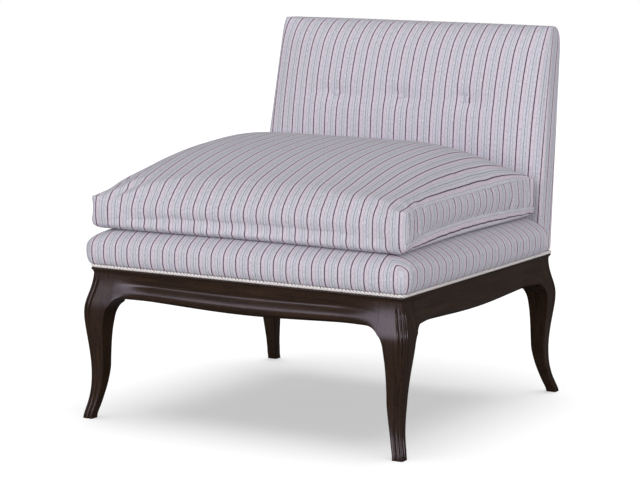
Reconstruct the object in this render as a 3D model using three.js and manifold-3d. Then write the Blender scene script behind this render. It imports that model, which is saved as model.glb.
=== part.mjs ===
// Slipper chair: a carved cabriole base, an upholstered seat deck, a raked upholstered back and a loose cushion.
// Millimetres, +Z up, front towards -Y. The model is laid out with y = 0 at the front edge of the base and
// z = 0 on the floor, and is centred in depth at the end.
import * as THREE from 'three';
import Module from 'manifold-3d';
import { mergeVertices } from 'three/addons/utils/BufferGeometryUtils.js';

const wasm = await Module();
wasm.setup();

// Driving dimensions: the base
const baseWidth = 690;
const baseDepth = 729;
const woodTopHeight = 306;
const lipHeight = 10;
const lipWidth = 34;
const apronFaceOffset = 4;
const apronThickness = 24;
const apronDepthAtLegs = 47;
const apronArchDrop = 13;
const apronArchLength = 30;
const apronBow = 8;
const apronBulge = 6;
const apronArris = 2;
const apronBlendLength = 90;
const legBlockWidth = 50;
const legKneeWidth = 44;
const legEdgeRadius = 5;
const rearFootKick = 36;
const rearKickHeight = 190;
const cornerBlockReach = 112;
const cornerBlockHeight = 32;
const cornerBlockDrop = 8;
const boltRadius = 3;
const boltHeadRadius = 6.5;
const boltHeadHeight = 4.5;
const boltDepthInLeg = 26;

// Driving dimensions: the seat
const railOffset = 11;
const railWidth = 42;
const railHeight = 32;
const railCornerCut = 8;
const deckHeight = 82;
const deckBulge = 14;
const deckCornerRadius = 26;
const deckToBackGap = 2.8;
const coverThickness = 2;
const springCount = 4;
const springSideSpace = 55;
const springWireRadius = 1.7;
const springHalfLoops = 15;
const springSwing = 21;
const springEndLength = 22;
const springArch = 11;
const clipWidth = 20;
const clipLength = 14;
const clipThickness = 1.2;
const padLedge = 9;
const dustCoverThickness = 1.2;
const weltRadius = 3.1;
const weltInset = 0.6;
const weltCornerRadius = 8;

// Driving dimensions: the back
const backHeight = 481;
const backRake = 75;
const backThickness = 64;
const backSideInset = 0.5;
const backSideDrawIn = 22;
const backCrown = 32;
const backTopRound = 17;
const backRearRadius = 6;
const backFootTuck = 5.5;
const frameTopInset = 11;
const postWidth = 45;
const postDepth = 30;
const postSideInset = 10.5;
const postRearInset = 9;
const backRailHeight = 52;
const lowerRailRise = 70;
const outsidePanelMargin = 9;
const outsidePanelTopMargin = 44;
const webbingWidth = 50;
const webbingThickness = 1.6;
const webbingAcrossShares = [0.3, 0.72];
const buttonHeight = 321;
const buttonSpacing = 158;
const buttonRadius = 8.5;
const buttonDome = 5;
const buttonDimple = 7;
const buttonSeat = 2.9;
const twineRadius = 1.2;

// Driving dimensions: the loose cushion
const cushionSideOverhang = 3;
const cushionTaper = 16;
const cushionFront = 1;
const cushionToBackGap = 1;
const cushionDrawIn = 7;
const cushionCornerRadius = 12;
const cushionUnderside = 26;
const cushionBoxing = 54;
const cushionBoxingBulge = 3;
const cushionCrown = 80;
const cushionCrownLean = 22;
const cushionCornerDrop = 12;
const cushionWall = 2;
const zipLength = 500;
const zipTapeHeight = 9;
const zipTapeThickness = 1.4;
const zipCoilHeight = 3;
const zipCoilRise = 1.2;
const sliderLength = 9;
const sliderHeight = 7;
const sliderThickness = 3;
const pullLength = 16;
const pullWidth = 4;
const pullThickness = 1;

// Clearances and cut overrun
const fitGap = 0.3;
const cutOverrun = 20;

// Counts of faces
const sectionSteps = 5;
const apronSteps = 26;
const roundSides = 16;
const wireSides = 5;
const weltSides = 8;
const stepsPerHalfLoop = 4;

// Levels that several pieces share
const legTop = woodTopHeight - lipHeight;
const seatBase = woodTopHeight + fitGap;
const railTop = seatBase + railHeight;
const deckTop = woodTopHeight + deckHeight;
const backTop = woodTopHeight + backHeight;

// Widths and depths that follow from the base
const deckRear = baseDepth - backThickness - deckToBackGap;
const backHalfWidthAtSeat = baseWidth / 2 - backSideInset;
const backHalfWidthAtTop = backHalfWidthAtSeat - backSideDrawIn;
const cushionHalfWidthFront = baseWidth / 2 + cushionSideOverhang;
const cushionHalfWidthRear = cushionHalfWidthFront - cushionTaper;
const cushionRear = baseDepth - backThickness - cushionToBackGap;

const finishes = {
  wood: { color: 0x3a2620, roughness: 0.35, metalness: 0 },
  beech: { color: 0xc9a578, roughness: 0.7, metalness: 0 },
  stripe: { color: 0xc8c4d2, roughness: 0.9, metalness: 0 },
  button: { color: 0xc2bccb, roughness: 0.9, metalness: 0 },
  welt: { color: 0xe2dddc, roughness: 0.9, metalness: 0 },
  foam: { color: 0xe8e2d0, roughness: 0.95, metalness: 0 },
  cambric: { color: 0x222224, roughness: 0.95, metalness: 0 },
  jute: { color: 0xb39a6b, roughness: 0.95, metalness: 0 },
  steel: { color: 0x8d9196, roughness: 0.4, metalness: 0.9 },
  zip: { color: 0xd6d2d8, roughness: 0.6, metalness: 0 },
};

const chair = new THREE.Group();

function addPiece(name, geometry, finish, parent = chair) {
  const mesh = new THREE.Mesh(geometry, new THREE.MeshStandardMaterial(finishes[finish]));
  mesh.name = name;
  parent.add(mesh);
  return mesh;
}

// Small curve helpers

const lerp = THREE.MathUtils.lerp;
const smooth = (t) => THREE.MathUtils.smoothstep(t, 0, 1);

// A quarter round, counterclockwise from a start angle.
function arcPoints(x, y, radius, start) {
  return Array.from({ length: sectionSteps }, (_, step) => {
    const angle = start + (Math.PI / 2) * (step / (sectionSteps - 1));
    return new THREE.Vector2(x + radius * Math.cos(angle), y + radius * Math.sin(angle));
  });
}

// Reads a table of rows [place, value, value, ...] at a place, with a smooth curve through its rows.
function readTable(rows, place, column) {
  const last = rows.length - 1;
  const at = (index) => rows[THREE.MathUtils.clamp(index, 0, last)];
  let start = 0;
  while (start < last - 1 && rows[start + 1][0] < place) {
    start += 1;
  }
  const [from, to] = [at(start), at(start + 1)];
  const t = THREE.MathUtils.clamp((place - from[0]) / (to[0] - from[0]), 0, 1);
  const slope = (a, b) => (b[column] - a[column]) / (b[0] - a[0] || 1);
  const span = to[0] - from[0];
  const slopeIn = start === 0 ? slope(from, to) : slope(at(start - 1), to);
  const slopeOut = start + 1 === last ? slope(from, to) : slope(from, at(start + 2));
  const t2 = t * t;
  const t3 = t2 * t;
  return (2 * t3 - 3 * t2 + 1) * from[column] + (t3 - 2 * t2 + t) * span * slopeIn
    + (3 * t2 - 2 * t3) * to[column] + (t3 - t2) * span * slopeOut;
}

// Solids

function signedVolume(points, triangles) {
  let volume = 0;
  for (const [a, b, c] of triangles) {
    volume += points[a].dot(new THREE.Vector3().crossVectors(points[b], points[c]));
  }
  return volume;
}

// A closed body from points and triangles, turned to face outwards.
function closedBody(points, triangles) {
  const outward = signedVolume(points, triangles) > 0;
  const geometry = new THREE.BufferGeometry().setFromPoints(points);
  geometry.setIndex(triangles.flatMap(([a, b, c]) => (outward ? [a, b, c] : [a, c, b])));
  geometry.computeVertexNormals();
  return geometry;
}

// A body lofted through equal rings, closed at both ends by a fan, or joined end to end when looped.
function loft(rings, looped = false) {
  const count = rings[0].length;
  const points = rings.flat().map((point) => point.clone());
  const triangles = [];
  const spans = looped ? rings.length : rings.length - 1;
  for (let ring = 0; ring < spans; ring += 1) {
    const next = (ring + 1) % rings.length;
    for (let i = 0; i < count; i += 1) {
      const j = (i + 1) % count;
      const [a, b, c, d] = [ring * count + i, ring * count + j, next * count + j, next * count + i];
      triangles.push([a, b, c], [a, c, d]);
    }
  }
  if (!looped) {
    for (const ring of [0, rings.length - 1]) {
      const centre = new THREE.Vector3();
      rings[ring].forEach((point) => centre.addScaledVector(point, 1 / count));
      const hub = points.push(centre) - 1;
      for (let i = 0; i < count; i += 1) {
        const j = (i + 1) % count;
        const [a, b] = [ring * count + i, ring * count + j];
        triangles.push(ring === 0 ? [hub, b, a] : [hub, a, b]);
      }
    }
  }
  return closedBody(points, triangles);
}

// An upright prism of a plan outline [[x, y], ...].
function prism(outline, bottom, top) {
  const shape = new THREE.Shape(outline.map(([x, y]) => new THREE.Vector2(x, y)));
  const geometry = new THREE.ExtrudeGeometry(shape, { depth: top - bottom, bevelEnabled: false });
  return geometry.translate(0, 0, bottom);
}

function boxBetween(low, high) {
  const size = high.map((value, axis) => value - low[axis]);
  const geometry = new THREE.BoxGeometry(...size);
  return geometry.translate(...low.map((value, axis) => value + size[axis] / 2));
}

function toSolid(geometry) {
  const bare = geometry.clone();
  bare.deleteAttribute('normal');
  bare.deleteAttribute('uv');
  const merged = mergeVertices(bare);
  return new wasm.Manifold(new wasm.Mesh({
    numProp: 3,
    vertProperties: merged.attributes.position.array,
    triVerts: new Uint32Array(merged.index.array),
  }));
}

function toGeometry(solid) {
  const mesh = solid.getMesh();
  const result = new THREE.BufferGeometry();
  result.setAttribute('position', new THREE.BufferAttribute(new Float32Array(mesh.vertProperties), 3));
  result.setIndex(new THREE.BufferAttribute(new Uint32Array(mesh.triVerts), 1));
  result.computeVertexNormals();
  return result;
}

function subtract(geometry, cutters) {
  let solid = toSolid(geometry);
  cutters.forEach((cutter) => {
    solid = solid.subtract(toSolid(cutter));
  });
  return toGeometry(solid);
}

function unite(first, second) {
  return toGeometry(toSolid(first).add(toSolid(second)));
}

// A profile in depth and height, [[y, z], ...], run along x and centred on it.
function alongX(profile, length) {
  const shape = new THREE.Shape(profile.map(([y, z]) => new THREE.Vector2(y, z)));
  const geometry = new THREE.ExtrudeGeometry(shape, { depth: length, bevelEnabled: false });
  geometry.translate(0, 0, -length / 2);
  return geometry.applyMatrix4(new THREE.Matrix4().makeBasis(
    new THREE.Vector3(0, 1, 0),
    new THREE.Vector3(0, 0, 1),
    new THREE.Vector3(1, 0, 0),
  ));
}

// The four sides of the base: local x runs along the side, local y inwards from its outer edge.
const sides = [
  { name: 'front', turn: 0, place: [0, 0], length: baseWidth },
  { name: 'right', turn: Math.PI / 2, place: [baseWidth / 2, baseDepth / 2], length: baseDepth },
  { name: 'rear', turn: Math.PI, place: [0, baseDepth], length: baseWidth },
  { name: 'left', turn: -Math.PI / 2, place: [-baseWidth / 2, baseDepth / 2], length: baseDepth },
];

function placeOnSide(mesh, side) {
  mesh.position.set(side.place[0], side.place[1], 0);
  mesh.rotation.z = side.turn;
}

// Legs: a square section that swells at the knee, thins to the ankle and turns out at the foot. The top of a leg
// is the block that two aprons join, and the aprons' arches run down to the block's foot.
const legBlockFoot = legTop - apronDepthAtLegs - apronArchDrop;
const legBlockShare = legBlockWidth / legKneeWidth;
// Rows: share of the height below the block, then outer and inner face as shares of the knee's width.
const freeLegShares = [
  [0, -0.28, 0.25],
  [0.038, -0.25, 0.27],
  [0.113, -0.14, 0.38],
  [0.2, -0.05, 0.49],
  [0.3, 0, 0.6],
  [0.425, 0, 0.69],
  [0.525, -0.035, 0.7],
  [0.65, -0.11, 0.715],
  [0.765, -0.19, 0.75],
  [0.865, -0.25, 0.815],
  [0.91, -0.26, 0.86],
  [0.945, -0.255, 0.925],
  [0.978, -0.24, 1.02],
  [1, -0.225, legBlockShare],
];
// Rows: share of the block's height, and its outer face as a share of the knee's width.
const legBlockShares = [
  [0.21, -0.14],
  [0.41, -0.065],
  [0.61, 0],
  [0.8, 0.045],
  [1, 0.07],
];
const legRows = [
  ...freeLegShares.map(([up, outer, inner]) => [up * legBlockFoot, outer * legKneeWidth, inner * legKneeWidth]),
  ...legBlockShares.map(([up, outer]) => [lerp(legBlockFoot, legTop, up), outer * legKneeWidth, legBlockWidth]),
];
const legJointStartShare = 0.93;
const legInnerRadiusShare = 0.6;

function legOuter(z) {
  return readTable(legRows, z, 1);
}

function legInner(z) {
  return Math.min(legBlockWidth, readTable(legRows, z, 2));
}

function rearKick(z) {
  const share = Math.max(0, 1 - z / rearKickHeight);
  return rearFootKick * share ** 2;
}

// A square ring in the corner frame of one leg. The corners beside the aprons turn sharp at the block.
function legRing(z) {
  const outer = legOuter(z);
  const inner = legInner(z);
  const joined = THREE.MathUtils.smoothstep(z, legJointStartShare * legBlockFoot, legBlockFoot);
  const besideApron = lerp(legEdgeRadius * legInnerRadiusShare, fitGap, joined);
  const corners = [
    [outer, outer, legEdgeRadius, Math.PI],
    [inner, outer, besideApron, 1.5 * Math.PI],
    [inner, inner, legEdgeRadius * legInnerRadiusShare, 0],
    [outer, inner, besideApron, Math.PI / 2],
  ];
  return corners.flatMap(([x, y, radius, start]) => {
    const centreX = x === outer ? x + radius : x - radius;
    const centreY = y === outer ? y + radius : y - radius;
    return arcPoints(centreX, centreY, radius, start);
  });
}

function legGeometry(acrossSign, isRear) {
  const rings = legRows.map(([z]) => legRing(z).map(({ x, y }) => new THREE.Vector3(
    acrossSign * (baseWidth / 2 - x),
    isRear ? baseDepth - y + rearKick(z) : y,
    z,
  )));
  return loft(rings);
}

// The lag bolt of a corner lies level on the corner's diagonal.
function onCornerDiagonal(geometry, acrossSign, isRear) {
  const towardsLeg = new THREE.Vector3(acrossSign, isRear ? 1 : -1, 0).normalize();
  const turned = new THREE.Quaternion().setFromUnitVectors(new THREE.Vector3(0, 1, 0), towardsLeg);
  const middle = (cornerBlockReach + apronFaceOffset + apronThickness + fitGap) / 2;
  return geometry.applyQuaternion(turned).translate(
    acrossSign * (baseWidth / 2 - middle),
    isRear ? baseDepth - middle : middle,
    cornerBlockMiddle,
  );
}

const cornerBlockTop = legTop - cornerBlockDrop;
const cornerBlockMiddle = cornerBlockTop - cornerBlockHeight / 2;
const blockFace = apronFaceOffset + apronThickness + fitGap;
const blockCentreToLeg = ((cornerBlockReach + blockFace) / 2 - legBlockWidth) * Math.SQRT2;

function boltBore() {
  const length = blockCentreToLeg + boltDepthInLeg + fitGap + cutOverrun;
  const bore = new THREE.CylinderGeometry(boltRadius + fitGap, boltRadius + fitGap, length, roundSides);
  return bore.translate(0, length / 2 - cutOverrun, 0);
}

function boltGeometry() {
  const shankEnd = blockCentreToLeg + boltDepthInLeg;
  const tipLength = 2 * boltRadius;
  const profile = [
    [0, -boltHeadHeight - fitGap],
    [boltHeadRadius, -boltHeadHeight - fitGap],
    [boltHeadRadius, -fitGap],
    [boltRadius, -fitGap],
    [boltRadius, shankEnd - tipLength],
    [0, shankEnd],
  ].map(([x, y]) => new THREE.Vector2(x, y));
  return new THREE.LatheGeometry(profile, roundSides / 2 - 2);
}

function cornerBlockGeometry(acrossSign, isRear) {
  const near = blockFace;
  const legFace = legBlockWidth + fitGap;
  const outline = [
    [near, cornerBlockReach],
    [near, legFace],
    [legFace, legFace],
    [legFace, near],
    [cornerBlockReach, near],
  ].map(([x, y]) => [acrossSign * (baseWidth / 2 - x), isRear ? baseDepth - y : y]);
  const block = prism(outline, cornerBlockTop - cornerBlockHeight, cornerBlockTop);
  return subtract(block, [onCornerDiagonal(boltBore(), acrossSign, isRear)]);
}

function addCorners() {
  for (const isRear of [false, true]) {
    for (const acrossSign of [-1, 1]) {
      const corner = `${isRear ? 'rear' : 'front'}_${acrossSign < 0 ? 'left' : 'right'}`;
      const bore = onCornerDiagonal(boltBore(), acrossSign, isRear);
      addPiece(`leg_${corner}`, subtract(legGeometry(acrossSign, isRear), [bore]), 'wood');
      addPiece(`corner_block_${corner}`, cornerBlockGeometry(acrossSign, isRear), 'beech');
      addPiece(`corner_bolt_${corner}`, onCornerDiagonal(boltGeometry(), acrossSign, isRear), 'steel');
    }
  }
}

// Aprons: an ogee face that swells above its lower edge, and flows into the knees at its ends.
// Rows: share of the apron's depth below its top, bulge outwards as a share of the bulge.
const apronFaceShares = [
  [0, 0],
  [0.14, -0.2],
  [0.28, -0.38],
  [0.37, -0.42],
  [0.43, -0.26],
  [0.51, 0.12],
  [0.6, 0.5],
  [0.69, 0.76],
  [0.77, 0.82],
  [0.85, 0.68],
  [0.92, 0.3],
  [1, -0.6],
];
const apronArchPower = 2.8;

function apronRing(along, halfLength) {
  const fromLeg = halfLength - Math.abs(along);
  const blend = smooth(fromLeg / apronBlendLength);
  const bow = apronBow * Math.cos((Math.PI / 2) * (along / halfLength)) ** 2;
  const arch = apronArchDrop * Math.max(0, 1 - fromLeg / apronArchLength) ** apronArchPower;
  const depth = apronDepthAtLegs + bow + arch;
  const ring = apronFaceShares.map(([share, bulge]) => {
    const z = legTop - fitGap - share * depth;
    const faceOffset = lerp(legOuter(z), apronFaceOffset - bulge * apronBulge, blend);
    const under = share === 1 ? apronArris : 0;
    return new THREE.Vector3(along, faceOffset + under * (1 - blend), z);
  });
  const innerFace = apronFaceOffset + apronThickness;
  ring.push(new THREE.Vector3(along, innerFace, legTop - fitGap - depth));
  ring.push(new THREE.Vector3(along, innerFace, legTop - fitGap));
  return ring;
}

function apronGeometry(length) {
  const halfLength = length / 2 - legBlockWidth - fitGap;
  const rings = [];
  for (let step = 0; step <= apronSteps; step += 1) {
    const share = step / apronSteps;
    const along = -halfLength * Math.cos(Math.PI * share);
    rings.push(apronRing(along, halfLength));
  }
  return loft(rings);
}

// The lip's moulded edge, in offsets from its outer edge and heights above its underside, as shares of its height.
const lipEdgeShares = [[0.36, 0], [0.33, 0.2], [0.22, 0.44], [0.07, 0.62], [0, 0.78], [0.03, 0.92], [0.14, 1]];

function lipGeometry(length) {
  const profile = lipEdgeShares.map(([inwards, up]) => [inwards * lipHeight, legTop + up * lipHeight]);
  profile.push([lipWidth, woodTopHeight], [lipWidth, legTop]);
  const ends = [-1, 1].map((sign) => profile.map(([offset, z]) => {
    const along = sign * (length / 2 - offset - fitGap / 2);
    return new THREE.Vector3(along, offset, z);
  }));
  return loft(ends);
}

function addApronsAndLip() {
  for (const side of sides) {
    placeOnSide(addPiece(`apron_${side.name}`, apronGeometry(side.length), 'wood'), side);
    placeOnSide(addPiece(`lip_${side.name}`, lipGeometry(side.length), 'wood'), side);
  }
}

// The back leans away from the seat: its rear face moves back with height, and its sides draw in.
function backShare(z) {
  return (z - woodTopHeight) / backHeight;
}

function backRear(z) {
  return baseDepth + backRake * backShare(z);
}

function backFront(z) {
  return backRear(z) - backThickness;
}

function backHalfWidth(z) {
  return lerp(backHalfWidthAtSeat, backHalfWidthAtTop, backShare(z));
}

const postBack = (z) => backRear(z) - postRearInset;
const postFront = (z) => postBack(z) - postDepth;

// A four-cornered ring at one height.
function flatRing(xLow, xHigh, yLow, yHigh, z) {
  return [[xLow, yLow], [xHigh, yLow], [xHigh, yHigh], [xLow, yHigh]].map(([x, y]) => new THREE.Vector3(x, y, z));
}

// Seat rails: a box frame on the lip, whose side rails run back to the posts.
const seatHalfWidth = baseWidth / 2 - railOffset;
const sideRailInside = seatHalfWidth - railWidth;
const frontRailBack = railOffset + railWidth;
const rearRailBack = deckRear - railOffset;
const rearRailFront = rearRailBack - railWidth;

// The frame's plan with its front corners cut off, grown by a gap, back to a given depth.
function seatFrameOutline(gap, back) {
  const half = seatHalfWidth + gap;
  const front = railOffset - gap;
  return [
    [-half + railCornerCut, front],
    [half - railCornerCut, front],
    [half, front + railCornerCut],
    [half, back],
    [-half, back],
    [-half, front + railCornerCut],
  ];
}

function addSeatRails() {
  addPiece('seat_rail_front', prism(seatFrameOutline(0, frontRailBack), seatBase, railTop), 'beech');
  addPiece('seat_rail_rear', boxBetween(
    [-sideRailInside + fitGap, rearRailFront, seatBase],
    [sideRailInside - fitGap, rearRailBack, railTop],
  ), 'beech');
  for (const [name, sign] of [['left', -1], ['right', 1]]) {
    const [xLow, xHigh] = [sign * sideRailInside, sign * seatHalfWidth].sort((a, b) => a - b);
    const rings = [seatBase, railTop].map((z) => (
      flatRing(xLow, xHigh, frontRailBack + fitGap, postFront(z) - fitGap, z)
    ));
    addPiece(`seat_rail_${name}`, loft(rings), 'beech');
  }
}

// The slots in covers and pads where the side rails pass through to the posts.
function railPassages() {
  return [-1, 1].map((sign) => {
    const [xLow, xHigh] = [sign * (sideRailInside - fitGap), sign * (seatHalfWidth + fitGap)].sort((a, b) => a - b);
    return boxBetween([xLow, rearRailFront, seatBase - cutOverrun], [xHigh, postBack(railTop), railTop + fitGap]);
  });
}

// Seat springs: zigzag wire on a shallow arch, each end barred into a clip on a rail.
const clipHeight = 2 * (springWireRadius + fitGap) + 2 * clipThickness;
const springSeat = railTop + fitGap + clipHeight / 2;
const frontClipCentre = frontRailBack - clipLength;
const rearClipCentre = rearRailFront + clipLength;
const springTop = springSeat + springArch + springWireRadius;

function springPath(sign) {
  const barHalf = clipWidth / 2 + fitGap;
  const start = frontClipCentre + springEndLength;
  const end = rearClipCentre - springEndLength;
  const halfLoop = (end - start) / springHalfLoops;
  const points = [];
  const rise = (y) => springSeat
    + springArch * Math.sin(Math.PI * THREE.MathUtils.clamp((y - start) / (end - start), 0, 1));
  const put = (x, y) => points.push(new THREE.Vector3(sign * x, y, rise(y)));
  put(-barHalf, frontClipCentre);
  put(0, frontClipCentre);
  put(barHalf, frontClipCentre);
  put(springSwing, frontClipCentre + springEndLength / 2);
  for (let step = 0; step <= springHalfLoops * stepsPerHalfLoop; step += 1) {
    const y = start + (halfLoop * step) / stepsPerHalfLoop;
    put(springSwing * Math.cos(Math.PI * (step / stepsPerHalfLoop)), y);
  }
  const endSign = springHalfLoops % 2 === 0 ? 1 : -1;
  put(endSign * springSwing, rearClipCentre - springEndLength / 2);
  put(endSign * barHalf, rearClipCentre);
  put(0, rearClipCentre);
  put(-endSign * barHalf, rearClipCentre);
  return points;
}

function springGeometry(sign) {
  const points = springPath(sign);
  const section = new THREE.Shape(Array.from({ length: wireSides }, (_, side) => {
    const angle = (2 * Math.PI * side) / wireSides;
    return new THREE.Vector2(springWireRadius * Math.cos(angle), springWireRadius * Math.sin(angle));
  }));
  const path = new THREE.CatmullRomCurve3(points, false, 'centripetal');
  return new THREE.ExtrudeGeometry(section, {
    steps: points.length - 1,
    extrudePath: path,
    bevelEnabled: false,
  });
}

// A clip is a strap folded round the spring's end bar, open towards the middle of the seat.
function clipGeometry(towards) {
  const half = clipHeight / 2;
  const innerHalf = half - clipThickness;
  const back = -springWireRadius - fitGap;
  const outline = [
    [back - clipThickness, -half],
    [clipLength / 2, -half],
    [clipLength / 2, -innerHalf],
    [back, -innerHalf],
    [back, innerHalf],
    [clipLength / 2, innerHalf],
    [clipLength / 2, half],
    [back - clipThickness, half],
  ];
  return alongX(outline.map(([y, z]) => [y * towards, z]), clipWidth);
}

function addSprings() {
  const springSpacing = (2 * (sideRailInside - springSideSpace)) / (springCount - 1);
  for (let index = 0; index < springCount; index += 1) {
    const x = (index - (springCount - 1) / 2) * springSpacing;
    const spring = addPiece(`seat_spring_${index + 1}`, springGeometry(x < 0 ? -1 : 1), 'steel');
    spring.position.x = x;
    const clipFront = addPiece(`spring_clip_front_${index + 1}`, clipGeometry(1), 'steel');
    clipFront.position.set(x, frontClipCentre, springSeat);
    const clipRear = addPiece(`spring_clip_rear_${index + 1}`, clipGeometry(-1), 'steel');
    clipRear.position.set(x, rearClipCentre, springSeat);
  }
}

// The deck: a tight upholstered seat that bulges over the base and rolls over to a flat top.
// Rows: share of the deck's height, then bulge outwards of the lip and corner radius as shares of theirs.
const deckShares = [
  [0, -0.5, 0.4],
  [0.075, -0.5, 0.4],
  [0.095, 0.3, 0.5],
  [0.15, 0.62, 0.7],
  [0.29, 0.94, 0.95],
  [0.46, 1, 1],
  [0.61, 0.9, 1.05],
  [0.74, 0.35, 1.15],
  [0.83, -0.4, 1.3],
  [0.9, -1.2, 1.5],
  [0.955, -2.1, 1.75],
  [0.99, -3, 1.9],
  [1, -4, 2.05],
];
const deckRearRadiusShare = 0.32;
const deckRearRollShare = 0.12;

// A ring with four rounded corners, given counterclockwise.
function roundedRing(xHalf, yLow, yHigh, frontRadius, rearRadius, z) {
  const corners = [
    arcPoints(-xHalf + frontRadius, yLow + frontRadius, frontRadius, Math.PI),
    arcPoints(xHalf - frontRadius, yLow + frontRadius, frontRadius, 1.5 * Math.PI),
    arcPoints(xHalf - rearRadius, yHigh - rearRadius, rearRadius, 0),
    arcPoints(-xHalf + rearRadius, yHigh - rearRadius, rearRadius, Math.PI / 2),
  ];
  return corners.flat().map(({ x, y }) => new THREE.Vector3(x, y, z));
}

function deckRing([share, bulge, radiusShare], inset, z) {
  const out = bulge * deckBulge - inset;
  const radius = deckCornerRadius * radiusShare - inset;
  const roll = deckRearRollShare * deckBulge * Math.min(0, bulge - deckShares[0][1]);
  const rear = deckRear - inset + roll;
  return roundedRing(baseWidth / 2 + out, -out, rear, radius, deckRearRadiusShare * radius, z);
}

// The deck's form, drawn in by an inset. An open one runs on below, to cut away the underside.
function deckBody(inset, open = false) {
  const rings = deckShares.map((row) => {
    const z = lerp(seatBase, deckTop, row[0]) - inset * smooth(row[0]);
    return deckRing(row, inset, z);
  });
  if (open) {
    rings.unshift(deckRing(deckShares[0], inset, seatBase - cutOverrun));
  }
  return loft(rings);
}

function addDeck() {
  const cover = subtract(deckBody(0), [deckBody(coverThickness, true), ...railPassages()]);
  addPiece('deck_cover', cover, 'stripe');
  const hollowPlan = seatFrameOutline(fitGap, rearRailBack + fitGap);
  const railHollow = prism(hollowPlan, seatBase - cutOverrun, railTop + fitGap);
  const springHollow = boxBetween(
    [-seatHalfWidth + padLedge, railOffset + padLedge, seatBase],
    [seatHalfWidth - padLedge, rearRailBack - padLedge, springTop + fitGap],
  );
  const pad = subtract(deckBody(coverThickness + fitGap), [railHollow, springHollow, ...railPassages()]);
  addPiece('deck_pad', pad, 'foam');
}

function addDustCover() {
  const xHalf = baseWidth / 2 - lipWidth - fitGap;
  const top = seatBase - fitGap;
  addPiece('dust_cover', boxBetween(
    [-xHalf, lipWidth + fitGap, top - dustCoverThickness],
    [xHalf, baseDepth - lipWidth - fitGap, top],
  ), 'cambric');
}

// The welt cord: one closed round of cord on the lip, under the swell of deck and back.
function addWelt() {
  const route = roundedRing(
    baseWidth / 2 - weltInset,
    weltInset,
    baseDepth - weltInset,
    weltCornerRadius,
    weltCornerRadius,
    seatBase + weltRadius,
  );
  const count = route.length;
  const rings = route.map((point, index) => {
    const along = new THREE.Vector3().subVectors(route[(index + 1) % count], route[(index + count - 1) % count]);
    const outwards = new THREE.Vector3(along.y, -along.x, 0).normalize();
    return Array.from({ length: weltSides }, (_, side) => {
      const angle = (2 * Math.PI * side) / weltSides;
      const round = point.clone().addScaledVector(outwards, weltRadius * Math.cos(angle));
      round.z += weltRadius * Math.sin(angle);
      return round;
    });
  });
  addPiece('base_welt', loft(rings, true), 'welt');
}

// The upholstered back: crowned in front, rolled over at the top, tucked in above the welt at its foot.
// Rows: share of the back's height, then crown, top rounding and tuck at the foot as shares of theirs.
const buttonHeightShare = buttonHeight / backHeight;
const backShares = [
  [0, 0, 0, 1],
  [0.013, 0, 0, 1],
  [0.019, 0, 0, 0],
  [0.17, 0, 0, 0],
  [0.24, 0.2, 0, 0],
  [0.3, 0.38, 0, 0],
  [0.37, 0.52, 0, 0],
  [0.48, 0.8, 0, 0],
  [0.58, 0.96, 0, 0],
  [buttonHeightShare, 1, 0, 0],
  [0.76, 0.98, 0, 0],
  [0.85, 0.88, 0, 0],
  [0.91, 0.72, 0.02, 0],
  [0.95, 0.54, 0.1, 0],
  [0.974, 0.38, 0.26, 0],
  [0.99, 0.24, 0.52, 0],
  [0.998, 0.14, 0.8, 0],
  [1, 0.1, 1.2, 0],
];
const buttonAcrossShare = buttonSpacing / backHalfWidth(woodTopHeight + buttonHeight);
const backAcrossShares = [0, 0.16, 0.32, buttonAcrossShare, 0.64, 0.78, 0.88, 0.95, 0.985, 1];
const topFrontShare = 1.6;
const topFrontAtSideShare = 0.5;
const topFrontFadePower = 8;
const topSideShare = 0.8;
const topSideFrontShare = 0.4;
const topRearShare = 0.5;
const chamferShare = 0.3;
const topZoneShare = 0.85;

function backLevel(share, inset) {
  const z = Math.max(seatBase, woodTopHeight + share * backHeight);
  return z - inset * THREE.MathUtils.smoothstep(share, topZoneShare, 1);
}

function backFrontPoints([share, crown, rounding], half, seam, level) {
  const across = backAcrossShares.slice(1).reverse().map((value) => -value).concat(backAcrossShares);
  return across.map((value) => {
    const buttonHere = share === buttonHeightShare && [0, buttonAcrossShare].includes(Math.abs(value));
    const swell = crown * backCrown * (1 - Math.abs(value) ** 5);
    const dimple = buttonHere ? buttonDimple : 0;
    const fade = lerp(1, topFrontAtSideShare, Math.abs(value) ** topFrontFadePower);
    const roll = topFrontShare * rounding * backTopRound * fade;
    return new THREE.Vector3(value * half, seam + roll - swell + dimple, level);
  });
}

function backRing(row, inset, level) {
  const [share, , rounding, tuck] = row;
  const z = woodTopHeight + share * backHeight;
  const round = rounding * backTopRound;
  const drawn = inset + tuck * backFootTuck;
  const half = backHalfWidth(z) - drawn - topSideShare * round;
  const rear = backRear(z) - drawn - topRearShare * round;
  const frontHalf = backHalfWidth(z) - drawn - topSideFrontShare * round;
  const front = backFrontPoints(row, frontHalf, backFront(z) + inset, level);
  const radius = backRearRadius;
  const chamfer = chamferShare * radius;
  const right = [[half, rear - radius], [half - chamfer, rear - chamfer], [half - radius, rear]];
  const left = right.map(([x, y]) => [-x, y]).reverse();
  return front.concat(right.concat(left).map(([x, y]) => new THREE.Vector3(x, y, level)));
}

// The back's form, drawn in by an inset. An open one runs on below, to cut away the underside.
function backBody(inset, open = false) {
  const rings = backShares.map((row) => backRing(row, inset, backLevel(row[0], inset)));
  if (open) {
    rings.unshift(backRing(backShares[0], inset, seatBase - cutOverrun));
  }
  return loft(rings);
}

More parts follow.
